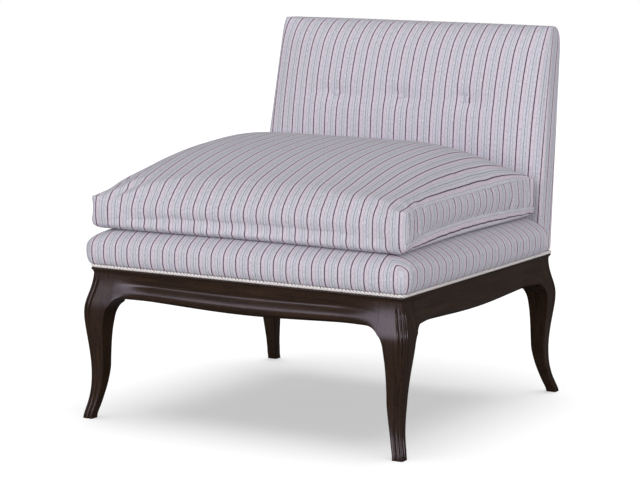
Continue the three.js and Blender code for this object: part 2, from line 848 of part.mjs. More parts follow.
// The outside panel follows the rear face up to its top margin. Grown and deepened, it cuts its own opening.
function outsidePanel(grow, deepen) {
  const topShare = 1 - outsidePanelTopMargin / backHeight;
  const rows = backShares.filter(([, crown, , tuck]) => tuck > 0 || crown === 0).map(([share, , , tuck]) => [share, tuck]);
  rows.push([topShare, 0]);
  const levels = rows.map(([share]) => Math.max(seatBase, woodTopHeight + share * backHeight));
  levels[0] -= deepen;
  levels[levels.length - 1] += grow;
  return loft(rows.map(([share, tuck], index) => {
    const z = woodTopHeight + share * backHeight;
    const half = backHalfWidth(z) - outsidePanelMargin - tuck * backFootTuck + grow;
    const rear = backRear(z) - tuck * backFootTuck;
    return flatRing(-half, half, rear - coverThickness - deepen, rear + deepen, levels[index]);
  }));
}

// The back's frame
const frameTop = backTop - frameTopInset;
const webbingSpace = 2 * webbingThickness + 3 * fitGap;
const postOuter = (z) => backHalfWidth(z) - postSideInset;
const postInner = (z) => postOuter(z) - postWidth;

function postRing(sign, z) {
  const [xLow, xHigh] = [sign * postInner(z), sign * postOuter(z)].sort((a, b) => a - b);
  return flatRing(xLow, xHigh, postFront(z), postBack(z), z);
}

function frameRailRing(z) {
  const half = postInner(z) - fitGap;
  return flatRing(-half, half, postFront(z), postBack(z), z);
}

const footRailLevels = [seatBase, railTop];
const lowerRailBottom = woodTopHeight + lowerRailRise;
const lowerRailLevels = [lowerRailBottom, lowerRailBottom + backRailHeight];
const topRailLevels = [frameTop - backRailHeight, frameTop];

function addBackFrame() {
  for (const [name, sign] of [['left', -1], ['right', 1]]) {
    addPiece(`back_post_${name}`, loft([postRing(sign, seatBase), postRing(sign, frameTop)]), 'beech');
  }
  addPiece('back_rail_foot', loft(footRailLevels.map(frameRailRing)), 'beech');
  addPiece('back_rail_lower', loft(lowerRailLevels.map(frameRailRing)), 'beech');
  addPiece('back_rail_top', loft(topRailLevels.map(frameRailRing)), 'beech');
}

function frameHollow() {
  const rings = [seatBase - cutOverrun, frameTop + fitGap].map((z) => {
    const half = postOuter(z) + fitGap;
    return flatRing(-half, half, postFront(z) - webbingSpace, backRear(z) + cutOverrun, z);
  });
  return loft(rings);
}

// Webbing: strips tacked on the front of posts and rails. Places forward of the posts' front face.
const webbingOnFrame = fitGap + webbingThickness / 2;
const webbingOver = webbingOnFrame + fitGap + webbingThickness;
const webbingUnder = -webbingThickness / 2;
const acrossHeights = webbingAcrossShares.map((share) => lerp(lowerRailLevels[1], topRailLevels[0], share));

function stripRing(xLow, xHigh, forward, z) {
  const y = postFront(z) - forward;
  return flatRing(xLow, xHigh, y - webbingThickness / 2, y + webbingThickness / 2, z);
}

function addWebbing() {
  acrossHeights.forEach((height, index) => {
    const rings = [height - webbingWidth / 2, height + webbingWidth / 2].map((z) => {
      const half = postOuter(z);
      return stripRing(-half, half, webbingOnFrame, z);
    });
    addPiece(`webbing_across_${index + 1}`, loft(rings), 'jute');
  });
  [-buttonSpacing, 0, buttonSpacing].forEach((x, column) => {
    const reach = webbingWidth / 2 + webbingThickness;
    const stations = [[lowerRailLevels[0] + webbingThickness, webbingOnFrame]];
    stations.push([lowerRailLevels[1] + webbingThickness, webbingOnFrame]);
    acrossHeights.forEach((height, row) => {
      const forward = (row + column) % 2 === 0 ? webbingOver : webbingUnder;
      stations.push([height - reach, forward], [height + reach, forward]);
    });
    stations.push([topRailLevels[0] - webbingThickness, webbingOnFrame]);
    stations.push([topRailLevels[1] - webbingThickness, webbingOnFrame]);
    const rings = stations.map(([z, forward]) => (
      stripRing(x - webbingWidth / 2, x + webbingWidth / 2, forward, z)
    ));
    addPiece(`webbing_up_${column + 1}`, loft(rings), 'jute');
  });
}

// Buttons: a covered dome in each dimple, whose twine runs back through the pad to the webbing.
const buttonZ = woodTopHeight + buttonHeight;
const dimpleY = backFront(buttonZ) - backCrown + buttonDimple;
const twineLength = postFront(buttonZ) - webbingSpace - dimpleY;

function buttonGeometry() {
  const seat = buttonSeat;
  const profile = [[0, -twineLength], [twineRadius, -twineLength], [twineRadius, seat]];
  profile.push([buttonRadius - seat, seat], [buttonRadius, seat + fitGap]);
  for (let step = 1; step < sectionSteps; step += 1) {
    const angle = (Math.PI / 2) * (step / sectionSteps);
    profile.push([buttonRadius * Math.cos(angle), seat + fitGap + buttonDome * Math.sin(angle)]);
  }
  profile.push([0, seat + fitGap + buttonDome]);
  return new THREE.LatheGeometry(profile.map(([x, y]) => new THREE.Vector2(x, y)), roundSides);
}

function onButtonAxis(geometry, x) {
  return geometry.rotateX(Math.PI).translate(x, dimpleY, buttonZ);
}

function twineBore(x) {
  const reach = twineLength + 2 * cutOverrun;
  const bore = new THREE.CylinderGeometry(twineRadius + fitGap, twineRadius + fitGap, reach, roundSides / 2);
  return onButtonAxis(bore.translate(0, cutOverrun - reach / 2, 0), x);
}

function addBack() {
  const places = [-buttonSpacing, 0, buttonSpacing];
  const bores = places.map((x) => twineBore(x));
  const openings = [outsidePanel(fitGap, cutOverrun), ...railPassages(), ...bores];
  const cover = subtract(backBody(0), [backBody(coverThickness, true), ...openings]);
  addPiece('back_cover', cover, 'stripe');
  const pad = subtract(backBody(coverThickness + fitGap), [frameHollow(), ...railPassages(), ...bores]);
  addPiece('back_pad', pad, 'foam');
  addPiece('outside_back_panel', outsidePanel(0, 0), 'stripe');
  ['left', 'centre', 'right'].forEach((name, index) => {
    addPiece(`button_${name}`, onButtonAxis(buttonGeometry(), places[index]), 'button');
  });
}

// The loose cushion: a domed top, a boxing that pulls in between its corners, and a softer underside.
const cushionBottom = deckTop + fitGap;
const boxingBottom = cushionBottom + cushionUnderside;
const boxingTop = boxingBottom + cushionBoxing;
const boxingMiddle = (boxingBottom + boxingTop) / 2;
const sideShares = [-0.67, -0.33, 0, 0.33, 0.67];
const zipReachShare = (zipLength / 2 + sliderLength) / cushionHalfWidthRear;
const rearSideShares = [-1, -0.5, 0, 0.5, 1].map((share) => share * zipReachShare);
// How far out each ring lies as a share of the outline, and on the underside its height as a share of its rise.
const undersideShares = [[0.84, 0], [0.9, 0.08], [0.945, 0.28], [0.98, 0.6], [1, 1]];
const crownRingShares = [1, 0.985, 0.955, 0.91, 0.85, 0.77, 0.66, 0.52, 0.36, 0.18];
// The crown falls off steeply at the sides and gently to front and rear.
const crownAcrossPower = 5.5;
const crownAlongPower = 2.6;

// The cushion's plan outline, each point with its share of the droop that the corners have.
function cushionOutline(inset) {
  const [front, rear] = [cushionFront + inset, cushionRear - inset];
  const [halfFront, halfRear] = [cushionHalfWidthFront - inset, cushionHalfWidthRear - inset];
  const corners = [[-halfFront, front], [halfFront, front], [halfRear, rear], [-halfRear, rear]]
    .map(([x, y]) => new THREE.Vector2(x, y));
  const radius = cushionCornerRadius - inset;
  const cut = radius * (1 - Math.SQRT1_2);
  return corners.flatMap((corner, index) => {
    const before = corners[(index + 3) % 4];
    const after = corners[(index + 1) % 4];
    const arriving = new THREE.Vector2().subVectors(corner, before).normalize();
    const leaving = new THREE.Vector2().subVectors(after, corner).normalize();
    const inwards = new THREE.Vector2(-leaving.y, leaving.x);
    const isRear = index === 2;
    const points = [
      { at: corner.clone().addScaledVector(arriving, -radius), droop: 1 },
      { at: corner.clone().addScaledVector(arriving, -cut).addScaledVector(leaving, cut), droop: 1 },
      { at: corner.clone().addScaledVector(leaving, radius), droop: 1 },
    ];
    for (const share of isRear ? rearSideShares : sideShares) {
      const drawn = isRear ? 1 : Math.cos((Math.PI / 2) * share) ** 2;
      const at = new THREE.Vector2().lerpVectors(corner, after, (1 + share) / 2);
      points.push({ at: at.addScaledVector(inwards, drawn * cushionDrawIn), droop: share ** 4 });
    }
    return points;
  });
}

// A ring at a share of the outline. The height rises with the crown's share, and the corners droop.
function cushionRing(outwardShare, inset, z, droopShare, crownShare = 0) {
  const middle = (cushionFront + cushionRear) / 2;
  const outline = cushionOutline(inset);
  const along = outline.map(({ at }) => Math.abs(at.y - middle));
  const longest = Math.max(...along);
  return outline.map(({ at, droop }) => {
    const place = (at.y - middle) / longest;
    const half = lerp(cushionHalfWidthFront, cushionHalfWidthRear, (1 + place) / 2) - inset;
    const across = outwardShare * Math.min(1, Math.abs(at.x) / half);
    const crown = cushionCrown + cushionCrownLean * place * outwardShare;
    const swell = (1 - across ** crownAcrossPower) * (1 - Math.abs(place * outwardShare) ** crownAlongPower);
    return new THREE.Vector3(
      at.x * outwardShare,
      middle + (at.y - middle) * outwardShare,
      z + crown * swell * crownShare - cushionCornerDrop * droop * droopShare,
    );
  });
}

function cushionBody(inset) {
  const rings = undersideShares.map(([out, rise]) => (
    cushionRing(out, inset, cushionBottom + rise * cushionUnderside + inset, rise)
  ));
  rings.push(cushionRing(1, inset - cushionBoxingBulge, boxingMiddle, 1));
  crownRingShares.forEach((out) => {
    rings.push(cushionRing(out, inset, boxingTop - inset, out ** 6, 1));
  });
  return loft(rings);
}

// The zip lies in a straight slot in the rear boxing, its coil just proud of the tape.
const boxingRear = cushionRear + cushionBoxingBulge - cushionDrawIn;
const tapeFace = boxingRear - 2 * fitGap;
const coilFace = tapeFace + zipCoilRise;

function zipSlot() {
  return boxBetween(
    [-zipLength / 2 - fitGap, boxingRear - cutOverrun, boxingMiddle - zipTapeHeight / 2 - fitGap],
    [zipLength / 2 + fitGap, boxingRear + cutOverrun, boxingMiddle + zipTapeHeight / 2 + fitGap],
  );
}

function zipGeometry() {
  const [tape, coil] = [zipTapeHeight / 2, zipCoilHeight / 2];
  const profile = [
    [tapeFace - zipTapeThickness, -tape],
    [tapeFace, -tape],
    [tapeFace, -coil],
    [coilFace, -coil],
    [coilFace, coil],
    [tapeFace, coil],
    [tapeFace, tape],
    [tapeFace - zipTapeThickness, tape],
  ];
  return alongX(profile, zipLength).translate(0, 0, boxingMiddle);
}

function sliderGeometry() {
  const half = sliderHeight / 2;
  const groove = zipCoilHeight / 2 + fitGap;
  const [near, floor, far] = [tapeFace + fitGap, coilFace + fitGap, tapeFace + fitGap + sliderThickness];
  const profile = [[near, -half], [far, -half], [far, half], [near, half]];
  profile.push([near, groove], [floor, groove], [floor, -groove], [near, -groove]);
  const pull = boxBetween(
    [-pullWidth / 2, far - pullThickness, -half - pullLength],
    [pullWidth / 2, far, -half + pullThickness],
  );
  return unite(alongX(profile, sliderLength), pull).translate(0, 0, boxingMiddle);
}

function addCushion() {
  const inner = cushionBody(cushionWall);
  addPiece('cushion_case', subtract(cushionBody(0), [inner, zipSlot()]), 'stripe');
  addPiece('cushion_core', cushionBody(cushionWall + fitGap), 'foam');
  addPiece('cushion_zip', zipGeometry(), 'zip');
  const slider = addPiece('cushion_zip_slider', sliderGeometry(), 'steel');
  slider.position.x = zipLength / 2 - sliderLength;
}

addCorners();
addApronsAndLip();
addSeatRails();
addSprings();
addDeck();
addDustCover();
addWelt();
addBackFrame();
addWebbing();
addBack();
addCushion();

chair.updateMatrixWorld(true);
const extent = new THREE.Box3().setFromObject(chair, true);
chair.position.y = -(extent.min.y + extent.max.y) / 2;

export default chair;
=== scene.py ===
"""The dressed slipper chair: polished base, striped upholstery and a loose cushion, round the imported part."""

import logging
import math
from collections.abc import Callable, Iterator, Sequence
from contextlib import contextmanager
from dataclasses import dataclass, field
from enum import Enum
from functools import cached_property

import bpy
import numpy as np
from mathutils import Matrix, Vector
from mathutils.kdtree import KDTree


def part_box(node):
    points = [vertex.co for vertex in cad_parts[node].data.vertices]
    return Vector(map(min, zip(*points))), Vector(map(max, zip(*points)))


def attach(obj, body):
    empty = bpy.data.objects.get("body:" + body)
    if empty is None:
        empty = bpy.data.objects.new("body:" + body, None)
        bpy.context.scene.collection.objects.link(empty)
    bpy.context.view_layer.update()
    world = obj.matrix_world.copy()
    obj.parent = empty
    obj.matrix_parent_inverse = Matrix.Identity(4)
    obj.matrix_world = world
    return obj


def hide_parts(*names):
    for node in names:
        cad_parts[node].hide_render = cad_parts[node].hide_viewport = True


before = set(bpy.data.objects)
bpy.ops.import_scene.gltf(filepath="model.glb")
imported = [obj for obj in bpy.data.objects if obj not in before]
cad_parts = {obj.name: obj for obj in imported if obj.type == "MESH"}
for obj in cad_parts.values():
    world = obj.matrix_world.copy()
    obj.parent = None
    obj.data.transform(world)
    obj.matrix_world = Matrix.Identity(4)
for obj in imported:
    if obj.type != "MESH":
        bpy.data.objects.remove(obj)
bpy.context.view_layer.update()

LOG = logging.getLogger("slipper_chair")
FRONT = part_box("lip_front")[0].y
TWO_PI = 2 * math.pi
SEAM = 1e-6

Piece = bpy.types.Object
Socket = bpy.types.NodeSocket
Values = np.ndarray | float
Colour = tuple[float, float, float, float]


# Shared shaping tools


def deselect_all() -> None:
    """Leaves every object unselected, in object mode."""
    if bpy.context.mode != "OBJECT":
        bpy.ops.object.mode_set(mode="OBJECT")
    bpy.ops.object.select_all(action="DESELECT")


def make_active(piece: Piece) -> None:
    """Selects one piece alone and makes it the active one.

    Args:
        piece: The piece.
    """
    deselect_all()
    piece.select_set(True)
    bpy.context.view_layer.objects.active = piece


@contextmanager
def editing(piece: Piece) -> Iterator[None]:
    """Opens a piece with all of it selected, and closes it with every face turned outwards.

    Args:
        piece: The piece.
    """
    make_active(piece)
    bpy.ops.object.mode_set(mode="EDIT")
    bpy.ops.mesh.select_all(action="SELECT")
    yield
    bpy.ops.mesh.select_all(action="SELECT")
    bpy.ops.mesh.normals_make_consistent(inside=False)
    bpy.ops.object.mode_set(mode="OBJECT")


def face_outwards(piece: Piece) -> None:
    """Turns every face of a closed piece outwards."""
    with editing(piece):
        pass


def read_rows(source: Sequence, name: str) -> np.ndarray:
    """Reads one vector of every item of a mesh.

    Args:
        source: The items.
        name: The vector's name.

    Returns:
        Rows of x, y, z.
    """
    values = np.empty(len(source) * 3)
    source.foreach_get(name, values)
    return values.reshape(-1, 3)


def read_points(piece: Piece) -> np.ndarray:
    """Reads the vertices of a piece as rows of x, y, z."""
    return read_rows(piece.data.vertices, "co")


def write_points(piece: Piece, points: np.ndarray) -> None:
    """Moves the vertices of a piece to the given rows of x, y, z."""
    piece.data.vertices.foreach_set("co", np.ascontiguousarray(points, np.float64).ravel())
    piece.data.update()


def read_normals(piece: Piece) -> np.ndarray:
    """Reads the vertex normals of a piece as rows of x, y, z."""
    return read_rows(piece.data.vertex_normals, "vector")


def apply_modifier(piece: Piece, kind: str, **settings: object) -> None:
    """Adds a modifier to a piece and applies it.

    Args:
        piece: The piece to change.
        kind: The modifier's type.
        **settings: The modifier's settings.
    """
    modifier = piece.modifiers.new(kind.title(), kind)
    for key, value in settings.items():
        setattr(modifier, key, value)
    make_active(piece)
    bpy.ops.object.modifier_apply(modifier=modifier.name)


def shade_smooth(piece: Piece, angle: float = 180) -> None:
    """Shades a piece smooth, but for its sharp edges.

    Args:
        piece: The piece.
        angle: The angle in degrees past which an edge is sharp.
    """
    make_active(piece)
    if angle >= 180:
        bpy.ops.object.shade_smooth()
    else:
        bpy.ops.object.shade_smooth_by_angle(angle=math.radians(angle))


def smoothstep(low: float, high: float, value: Values) -> Values:
    """Eases from 0 at low to 1 at high."""
    share = np.clip((value - low) / (high - low), 0, 1)
    return share * share * (3 - 2 * share)


def blend_values(first: Values, second: Values, share: Values) -> Values:
    """Mixes two values by a share."""
    return first + (second - first) * share


def bell(distance: Values, width: float) -> Values:
    """A smooth hump, 1 at no distance and fading over the width."""
    return np.exp(-((distance / width) ** 2))


def spaced(stops: Sequence[float], counts: Sequence[int]) -> np.ndarray:
    """Divides each stretch between stops into its own number of even steps."""
    parts = [np.linspace(a, b, n, endpoint=False) for a, b, n in zip(stops[:-1], stops[1:], counts)]
    return np.concatenate([*parts, [stops[-1]]])


def mirrored(half: np.ndarray) -> np.ndarray:
    """Repeats rising steps from 0 on the other side of 0."""
    return np.concatenate([-half[:0:-1], half])


def ripple(place: np.ndarray, seed: float) -> np.ndarray:
    """A lasting irregular wave from -1 to 1 along a length in metres.

    Args:
        place: Lengths.
        seed: Tells one wave from another.

    Returns:
        The wave's height at each length.
    """
    waves = [(0.031, 0.36), (0.0193, 0.3), (0.0117, 0.2), (0.053, 0.14)]
    total = np.zeros_like(place)
    for number, (length, share) in enumerate(waves):
        bend = 1.4 * np.sin(TWO_PI * place / (length * 5.3) + seed * (number + 1.7))
        total += share * np.sin(TWO_PI * place / length + seed * (number + 3.1) + bend)
    return total


def round_edge(along: np.ndarray, radius: Values) -> tuple[np.ndarray, np.ndarray]:
    """Rounds the edge between two flat faces.

    Args:
        along: Distances on one face to the edge.
        radius: The edge's radius.

    Returns:
        How far each point moves into the solid, and how far it moves on its face away from the edge.
    """
    angle = (math.pi / 4) * (1 - np.clip(along / radius, 0, 1))
    near = along < radius
    back = np.where(near, radius * (1 - np.cos(angle)), 0)
    slide = np.where(near, radius - radius * np.sin(angle) - np.minimum(along, radius), 0)
    return back, slide


@dataclass(frozen=True)
class ShareTable:
    """Rows of shares, read with a smooth curve through them."""

    rows: tuple[tuple[float, ...], ...]

    def read(self, place: Values, column: int) -> np.ndarray:
        """Reads one column at a place.

        Args:
            place: The place or places, in the units of the first column.
            column: The column to read.

        Returns:
            The value at each place.
        """
        table = np.array(self.rows, float)
        across, values = table[:, 0], table[:, column]
        place = np.asarray(place, float)
        start = np.clip(np.searchsorted(across, place, "left") - 1, 0, len(across) - 2)
        span = across[start + 1] - across[start]
        share = np.clip((place - across[start]) / span, 0, 1)
        middle = (values[2:] - values[:-2]) / (across[2:] - across[:-2])
        ends = np.diff(values)[[0, -1]] / np.diff(across)[[0, -1]]
        slopes = np.concatenate([ends[:1], middle, ends[1:]])
        square, cube = share**2, share**3
        return (
            (2 * cube - 3 * square + 1) * values[start]
            + (cube - 2 * square + share) * span * slopes[start]
            + (3 * square - 2 * cube) * values[start + 1]
            + (cube - square) * span * slopes[start + 1]
        )


def corner_vertices(piece: Piece) -> tuple[np.ndarray, np.ndarray]:
    """Lists the vertex and the face of every face corner.

    Args:
        piece: The piece.

    Returns:
        The vertices and the faces.
    """
    vertices = np.empty(len(piece.data.loops), np.int32)
    piece.data.loops.foreach_get("vertex_index", vertices)
    counts = np.empty(len(piece.data.polygons), np.int32)
    piece.data.polygons.foreach_get("loop_total", counts)
    return vertices, np.repeat(np.arange(len(counts)), counts)


def write_cloth_map(piece: Piece, corners: np.ndarray) -> None:
    """Gives a piece its cloth map: metres across and along the stripes at every face corner."""
    layer = piece.data.uv_layers.new(name="cloth")
    layer.data.foreach_set("uv", np.ascontiguousarray(corners, np.float32).ravel())


def add_grid(name: str, across: int, along: int) -> tuple[Piece, np.ndarray, np.ndarray]:
    """Adds a flat grid.

    Args:
        name: The piece's name.
        across: How many faces it has across.
        along: How many faces it has along.

    Returns:
        The piece, and the column and the row of each vertex.
    """
    deselect_all()
    bpy.ops.mesh.primitive_grid_add(x_subdivisions=across, y_subdivisions=along, size=2)
    piece = bpy.context.active_object
    piece.name = piece.data.name = name
    shares = (read_points(piece) + 1) / 2
    return piece, np.rint(shares[:, 0] * across).astype(int), np.rint(shares[:, 1] * along).astype(int)


def loft(name: str, rings: np.ndarray, looped: bool = False, cloth: np.ndarray | None = None) -> Piece:
    """Lays a grid through equal rings, and closes it round and at its ends.

    Args:
        name: The piece's name.
        rings: The points, as rings x points x 3.
        looped: Whether the last ring meets the first one.
        cloth: The cloth map, as rings x (points + 1) x 2.

    Returns:
        The closed piece.
    """
    around = rings.shape[1]
    if looped:
        rings = np.concatenate([rings, rings[:1]])
    piece, column, row = add_grid(name, around, len(rings) - 1)
    if cloth is not None:
        vertices, _ = corner_vertices(piece)
        write_cloth_map(piece, cloth[row[vertices], column[vertices]])
    write_points(piece, rings[row, column % around])
    with editing(piece):
        bpy.ops.mesh.remove_doubles(threshold=SEAM)
        if not looped:
            bpy.ops.mesh.select_all(action="DESELECT")
            bpy.ops.mesh.select_mode(type="EDGE")
            bpy.ops.mesh.select_non_manifold()
            bpy.ops.mesh.edge_face_add()
    return piece


@dataclass
class Lattice:
    """A box of faces on steps of shares, the start of a padded piece."""

    piece: Piece
    place: np.ndarray
    across: np.ndarray
    along: np.ndarray
    up: np.ndarray

    @classmethod
    def extrude(cls: type, name: str, across: np.ndarray, along: np.ndarray, up: np.ndarray) -> "Lattice":
        """Extrudes a grid into a box.

        Args:
            name: The piece's name.
            across: The shares of its columns.
            along: The shares of its rows.
            up: The shares of its layers.

        Returns:
            The box, with the whole-number place and the three shares of each vertex.
        """
        piece, column, row = add_grid(name, len(across) - 1, len(along) - 1)
        write_points(piece, np.column_stack([column, row, np.zeros_like(row)]))
        with editing(piece):
            for _ in up[1:]:
                bpy.ops.mesh.extrude_region_move(TRANSFORM_OT_translate={"value": (0, 0, 1)})
        place = np.rint(read_points(piece)).astype(int)
        return cls(piece, place, across[place[:, 0]], along[place[:, 1]], up[place[:, 2]])

    @cached_property
    def corners(self) -> tuple[np.ndarray, np.ndarray]:
        """The vertex and the face of every face corner."""
        return corner_vertices(self.piece)

    @cached_property
    def rim(self) -> np.ndarray:
        """Marks the vertices of the four sides."""
        return (np.abs(self.across) == 1) | (np.abs(self.along) == 1)

    def whole(self, test: np.ndarray) -> np.ndarray:
        """Marks the corners of faces whose every vertex passes a test.

        Args:
            test: Which vertices pass.

        Returns:
            A mark for each corner.
        """
        vertices, faces = self.corners
        size = np.bincount(faces)
        return (np.bincount(faces, test[vertices], len(size)) == size)[faces]

    def sides(self) -> Iterator[tuple[np.ndarray, int]]:
        """Gives the corners of the left side with -1, and those of the right side with 1."""
        for edge, sign in ((0, -1), (self.place[:, 0].max(), 1)):
            yield self.whole(self.place[:, 0] == edge), sign


@dataclass(frozen=True)
class ClothSwell:
    """A short cloth simulation that lets a padded piece fill its cover, with the creases that this brings."""

    voxel: float = 0.0068
    slack: float = 0.003
    pressure: float = 4.0
    frames: int = 20
    quality: int = 6
    cap: float = 0.0075
    spare_cloth: float = 0.03
    stiffness: float = 10.0
    bending: float = 0.4
    neighbours: int = 4
    nearest: float = 0.001

    def simulate(self, copy: Piece, held: np.ndarray) -> np.ndarray:
        """Runs the cloth under pressure, without gravity.

        Args:
            copy: The evenly meshed copy.
            held: How firmly each vertex is held, from 0 to 1.

        Returns:
            Where each vertex ends.
        """
        group = copy.vertex_groups.new(name="held")
        for index in np.flatnonzero(held > 0.01):
            group.add([int(index)], float(held[index]), "REPLACE")
        modifier = copy.modifiers.new("Cloth", "CLOTH")
        cloth = modifier.settings
        cloth.quality = self.quality
        cloth.tension_stiffness = cloth.compression_stiffness = self.stiffness
        cloth.bending_stiffness = self.bending
        cloth.shrink_min = -self.spare_cloth
        cloth.vertex_group_mass = group.name
        cloth.use_pressure = True
        cloth.uniform_pressure_force = self.pressure
        cloth.effector_weights.gravity = 0
        modifier.point_cache.frame_start = 1
        modifier.point_cache.frame_end = self.frames
        scene = bpy.context.scene
        for number in range(1, self.frames + 1):
            scene.frame_set(number)
        points = read_points(copy.evaluated_get(bpy.context.evaluated_depsgraph_get()))
        copy.modifiers.clear()
        scene.frame_set(1)
        return points

    def run(self, piece: Piece, hold: Callable[[np.ndarray], np.ndarray]) -> None:
        """Swells a piece: an evenly meshed copy is simulated and its movement carried back.

        Args:
            piece: The piece.
            hold: Tells how firmly points are held, from 0 to 1.
        """
        points, normals = read_points(piece), read_normals(piece)
        make_active(piece)
        bpy.ops.object.duplicate()
        copy = bpy.context.active_object
        write_points(copy, points - normals * self.slack)
        apply_modifier(copy, "REMESH", mode="VOXEL", voxel_size=self.voxel)
        start = read_points(copy)
        moved = self.simulate(copy, hold(start)) - start
        length = np.linalg.norm(moved, axis=1, keepdims=True)
        moved *= np.minimum(1, self.cap / np.maximum(length, 1e-9))
        LOG.info("%s: %d cloth vertices, %.1f mm at most", piece.name, len(start), 1000 * float(length.max()))
        tree = KDTree(len(start))
        for index, point in enumerate(start):
            tree.insert(point, index)
        tree.balance()
        carried = np.zeros_like(points)
        for index, point in enumerate(points):
            found = tree.find_n(point, self.neighbours)
            weights = np.array([1 / (near[2] + self.nearest) for near in found])
            carried[index] = weights @ moved[[near[1] for near in found]] / weights.sum()
        loose = 1 - hold(points)[:, None]
        write_points(piece, points + loose * (carried - normals * self.slack))
        bpy.data.objects.remove(copy)


# Finishes


def tone(red: int, green: int, blue: int) -> Colour:
    """Turns a colour in everyday 0 to 255 values into the linear values that a shader takes.

    Args:
        red: The red part.
        green: The green part.
        blue: The blue part.

    Returns:
        The linear colour.
    """
    parts = [value / 255 for value in (red, green, blue)]
    linear = [p / 12.92 if p <= 0.04045 else ((p + 0.055) / 1.055) ** 2.4 for p in parts]
    return (*linear, 1.0)


WHITE = tone(255, 255, 255)


class Surface:
    """A surface under construction, with short ways to add nodes to it."""

    def __init__(self, name: str, roughness: float, **sockets: object) -> None:
        """Starts a surface.

        Args:
            name: The material's name.
            roughness: The even roughness.
            **sockets: Further even values, with spaces in socket names written as underscores.
        """
        self.material = bpy.data.materials.new(name)
        self.material.use_nodes = True
        self.tree = self.material.node_tree
        self.shader = self.tree.nodes["Principled BSDF"]
        self.shader.inputs["Roughness"].default_value = roughness
        for key, value in sockets.items():
            self.shader.inputs[key.replace("_", " ")].default_value = value

    def node(self, kind: str, **settings: object) -> bpy.types.Node:
        """Adds a node.

        Args:
            kind: The node's kind.
            **settings: Its settings.

        Returns:
            The node.
        """
        made = self.tree.nodes.new("ShaderNode" + kind)
        for key, value in settings.items():
            setattr(made, key, value)
        return made

    def feed(self, socket: Socket, value: object) -> None:
        """Links a socket to another one, or sets its even value.

        Args:
            socket: The socket.
            value: Another socket, or the even value.
        """
        if isinstance(value, Socket):
            self.tree.links.new(value, socket)
        else:
            socket.default_value = value

    def math(self, operation: str, first: object, second: object = 0.0) -> Socket:
        """Adds a sum of two values.

        Args:
            operation: What is done.
            first: A value or socket.
            second: A value or socket.

        Returns:
            The result.
        """
        made = self.node("Math", operation=operation)
        self.feed(made.inputs[0], first)
        self.feed(made.inputs[1], second)
        return made.outputs[0]

    def wave(self, value: Socket, length: float) -> Socket:
        """Adds a sine wave of one length over a distance."""
        return self.math("SINE", self.math("MULTIPLY", value, TWO_PI / length))

    def turns(self, value: Socket, length: float) -> Socket:
        """Returns the share of its present repeat that a distance has reached."""
        return self.math("FRACT", self.math("MULTIPLY", value, 1 / length))

    def half_up(self, value: Socket) -> Socket:
        """Turns a value from -1 to 1 into a share."""
        return self.math("ADD", self.math("MULTIPLY", value, 0.5), 0.5)

    def ramp(self, share: Socket, stops: Sequence[tuple[float, Colour]]) -> Socket:
        """Adds a ramp of colours over a share.

        Args:
            share: The share.
            stops: Places and their colours, in order.

        Returns:
            The colour.
        """
        made = self.node("ValToRGB")
        elements = made.color_ramp.elements
        for place, colour in stops[1:-1]:
            elements.new(place).color = colour
        elements[0].position, elements[0].color = stops[0]
        elements[-1].position, elements[-1].color = stops[-1]
        self.feed(made.inputs["Fac"], share)
        return made.outputs["Color"]

    def cloth_map(self) -> Socket:
        """Returns the piece's own cloth map."""
        return self.node("UVMap", uv_map="cloth").outputs["UV"]

    def places(self) -> Socket:
        """Returns object coordinates."""
        return self.node("TexCoord").outputs["Object"]

    def split(self, vector: Socket) -> Sequence[Socket]:
        """Takes a vector apart.

        Args:
            vector: The vector.

        Returns:
            Its x, y and z.
        """
        made = self.node("SeparateXYZ")
        self.feed(made.inputs[0], vector)
        return made.outputs

    def stretched(self, scale: Sequence[float], source: Socket) -> Socket:
        """Scales a vector apart in three directions.

        Args:
            scale: The three scales.
            source: The vector.

        Returns:
            The scaled vector.
        """
        made = self.node("Mapping")
        self.feed(made.inputs["Vector"], source)
        made.inputs["Scale"].default_value = scale
        return made.outputs["Vector"]

    def noise(self, vector: Socket, scale: float, detail: float) -> Socket:
        """Adds an irregular pattern.

        Args:
            vector: What it runs over.
            scale: Its fineness.
            detail: Its depth.

        Returns:
            The share.
        """
        made = self.node("TexNoise")
        self.feed(made.inputs["Vector"], vector)
        made.inputs["Scale"].default_value = scale
        made.inputs["Detail"].default_value = detail
        return made.outputs["Fac"]

    def dapple(self, scale: Sequence[float], detail: float, source: Socket | None = None) -> Socket:
        """Adds an irregular pattern, stretched over object coordinates or another source."""
        return self.noise(self.stretched(scale, source or self.places()), 1.0, detail)

    def mix(self, share: object, first: object, second: object, kind: str = "MIX") -> Socket:
        """Mixes two colours.

        Args:
            share: The share of the second.
            first: A colour.
            second: A colour.
            kind: How they mix.

        Returns:
            The mixed colour.
        """
        made = self.node("Mix", data_type="RGBA", blend_type=kind)
        self.feed(made.inputs["Factor"], share)
        self.feed(made.inputs[6], first)
        self.feed(made.inputs[7], second)
        return made.outputs[2]

    def colour(self, value: object) -> None:
        """Sets the surface's colour."""
        self.feed(self.shader.inputs["Base Color"], value)

    def roughness(self, share: Socket, low: float, high: float) -> None:
        """Varies the roughness between two values.

        Args:
            share: The share between them.
            low: The lower value.
            high: The higher value.
        """
        made = self.node("MapRange")
        self.feed(made.inputs["Value"], share)
        made.inputs["To Min"].default_value = low
        made.inputs["To Max"].default_value = high
        self.feed(self.shader.inputs["Roughness"], made.outputs["Result"])

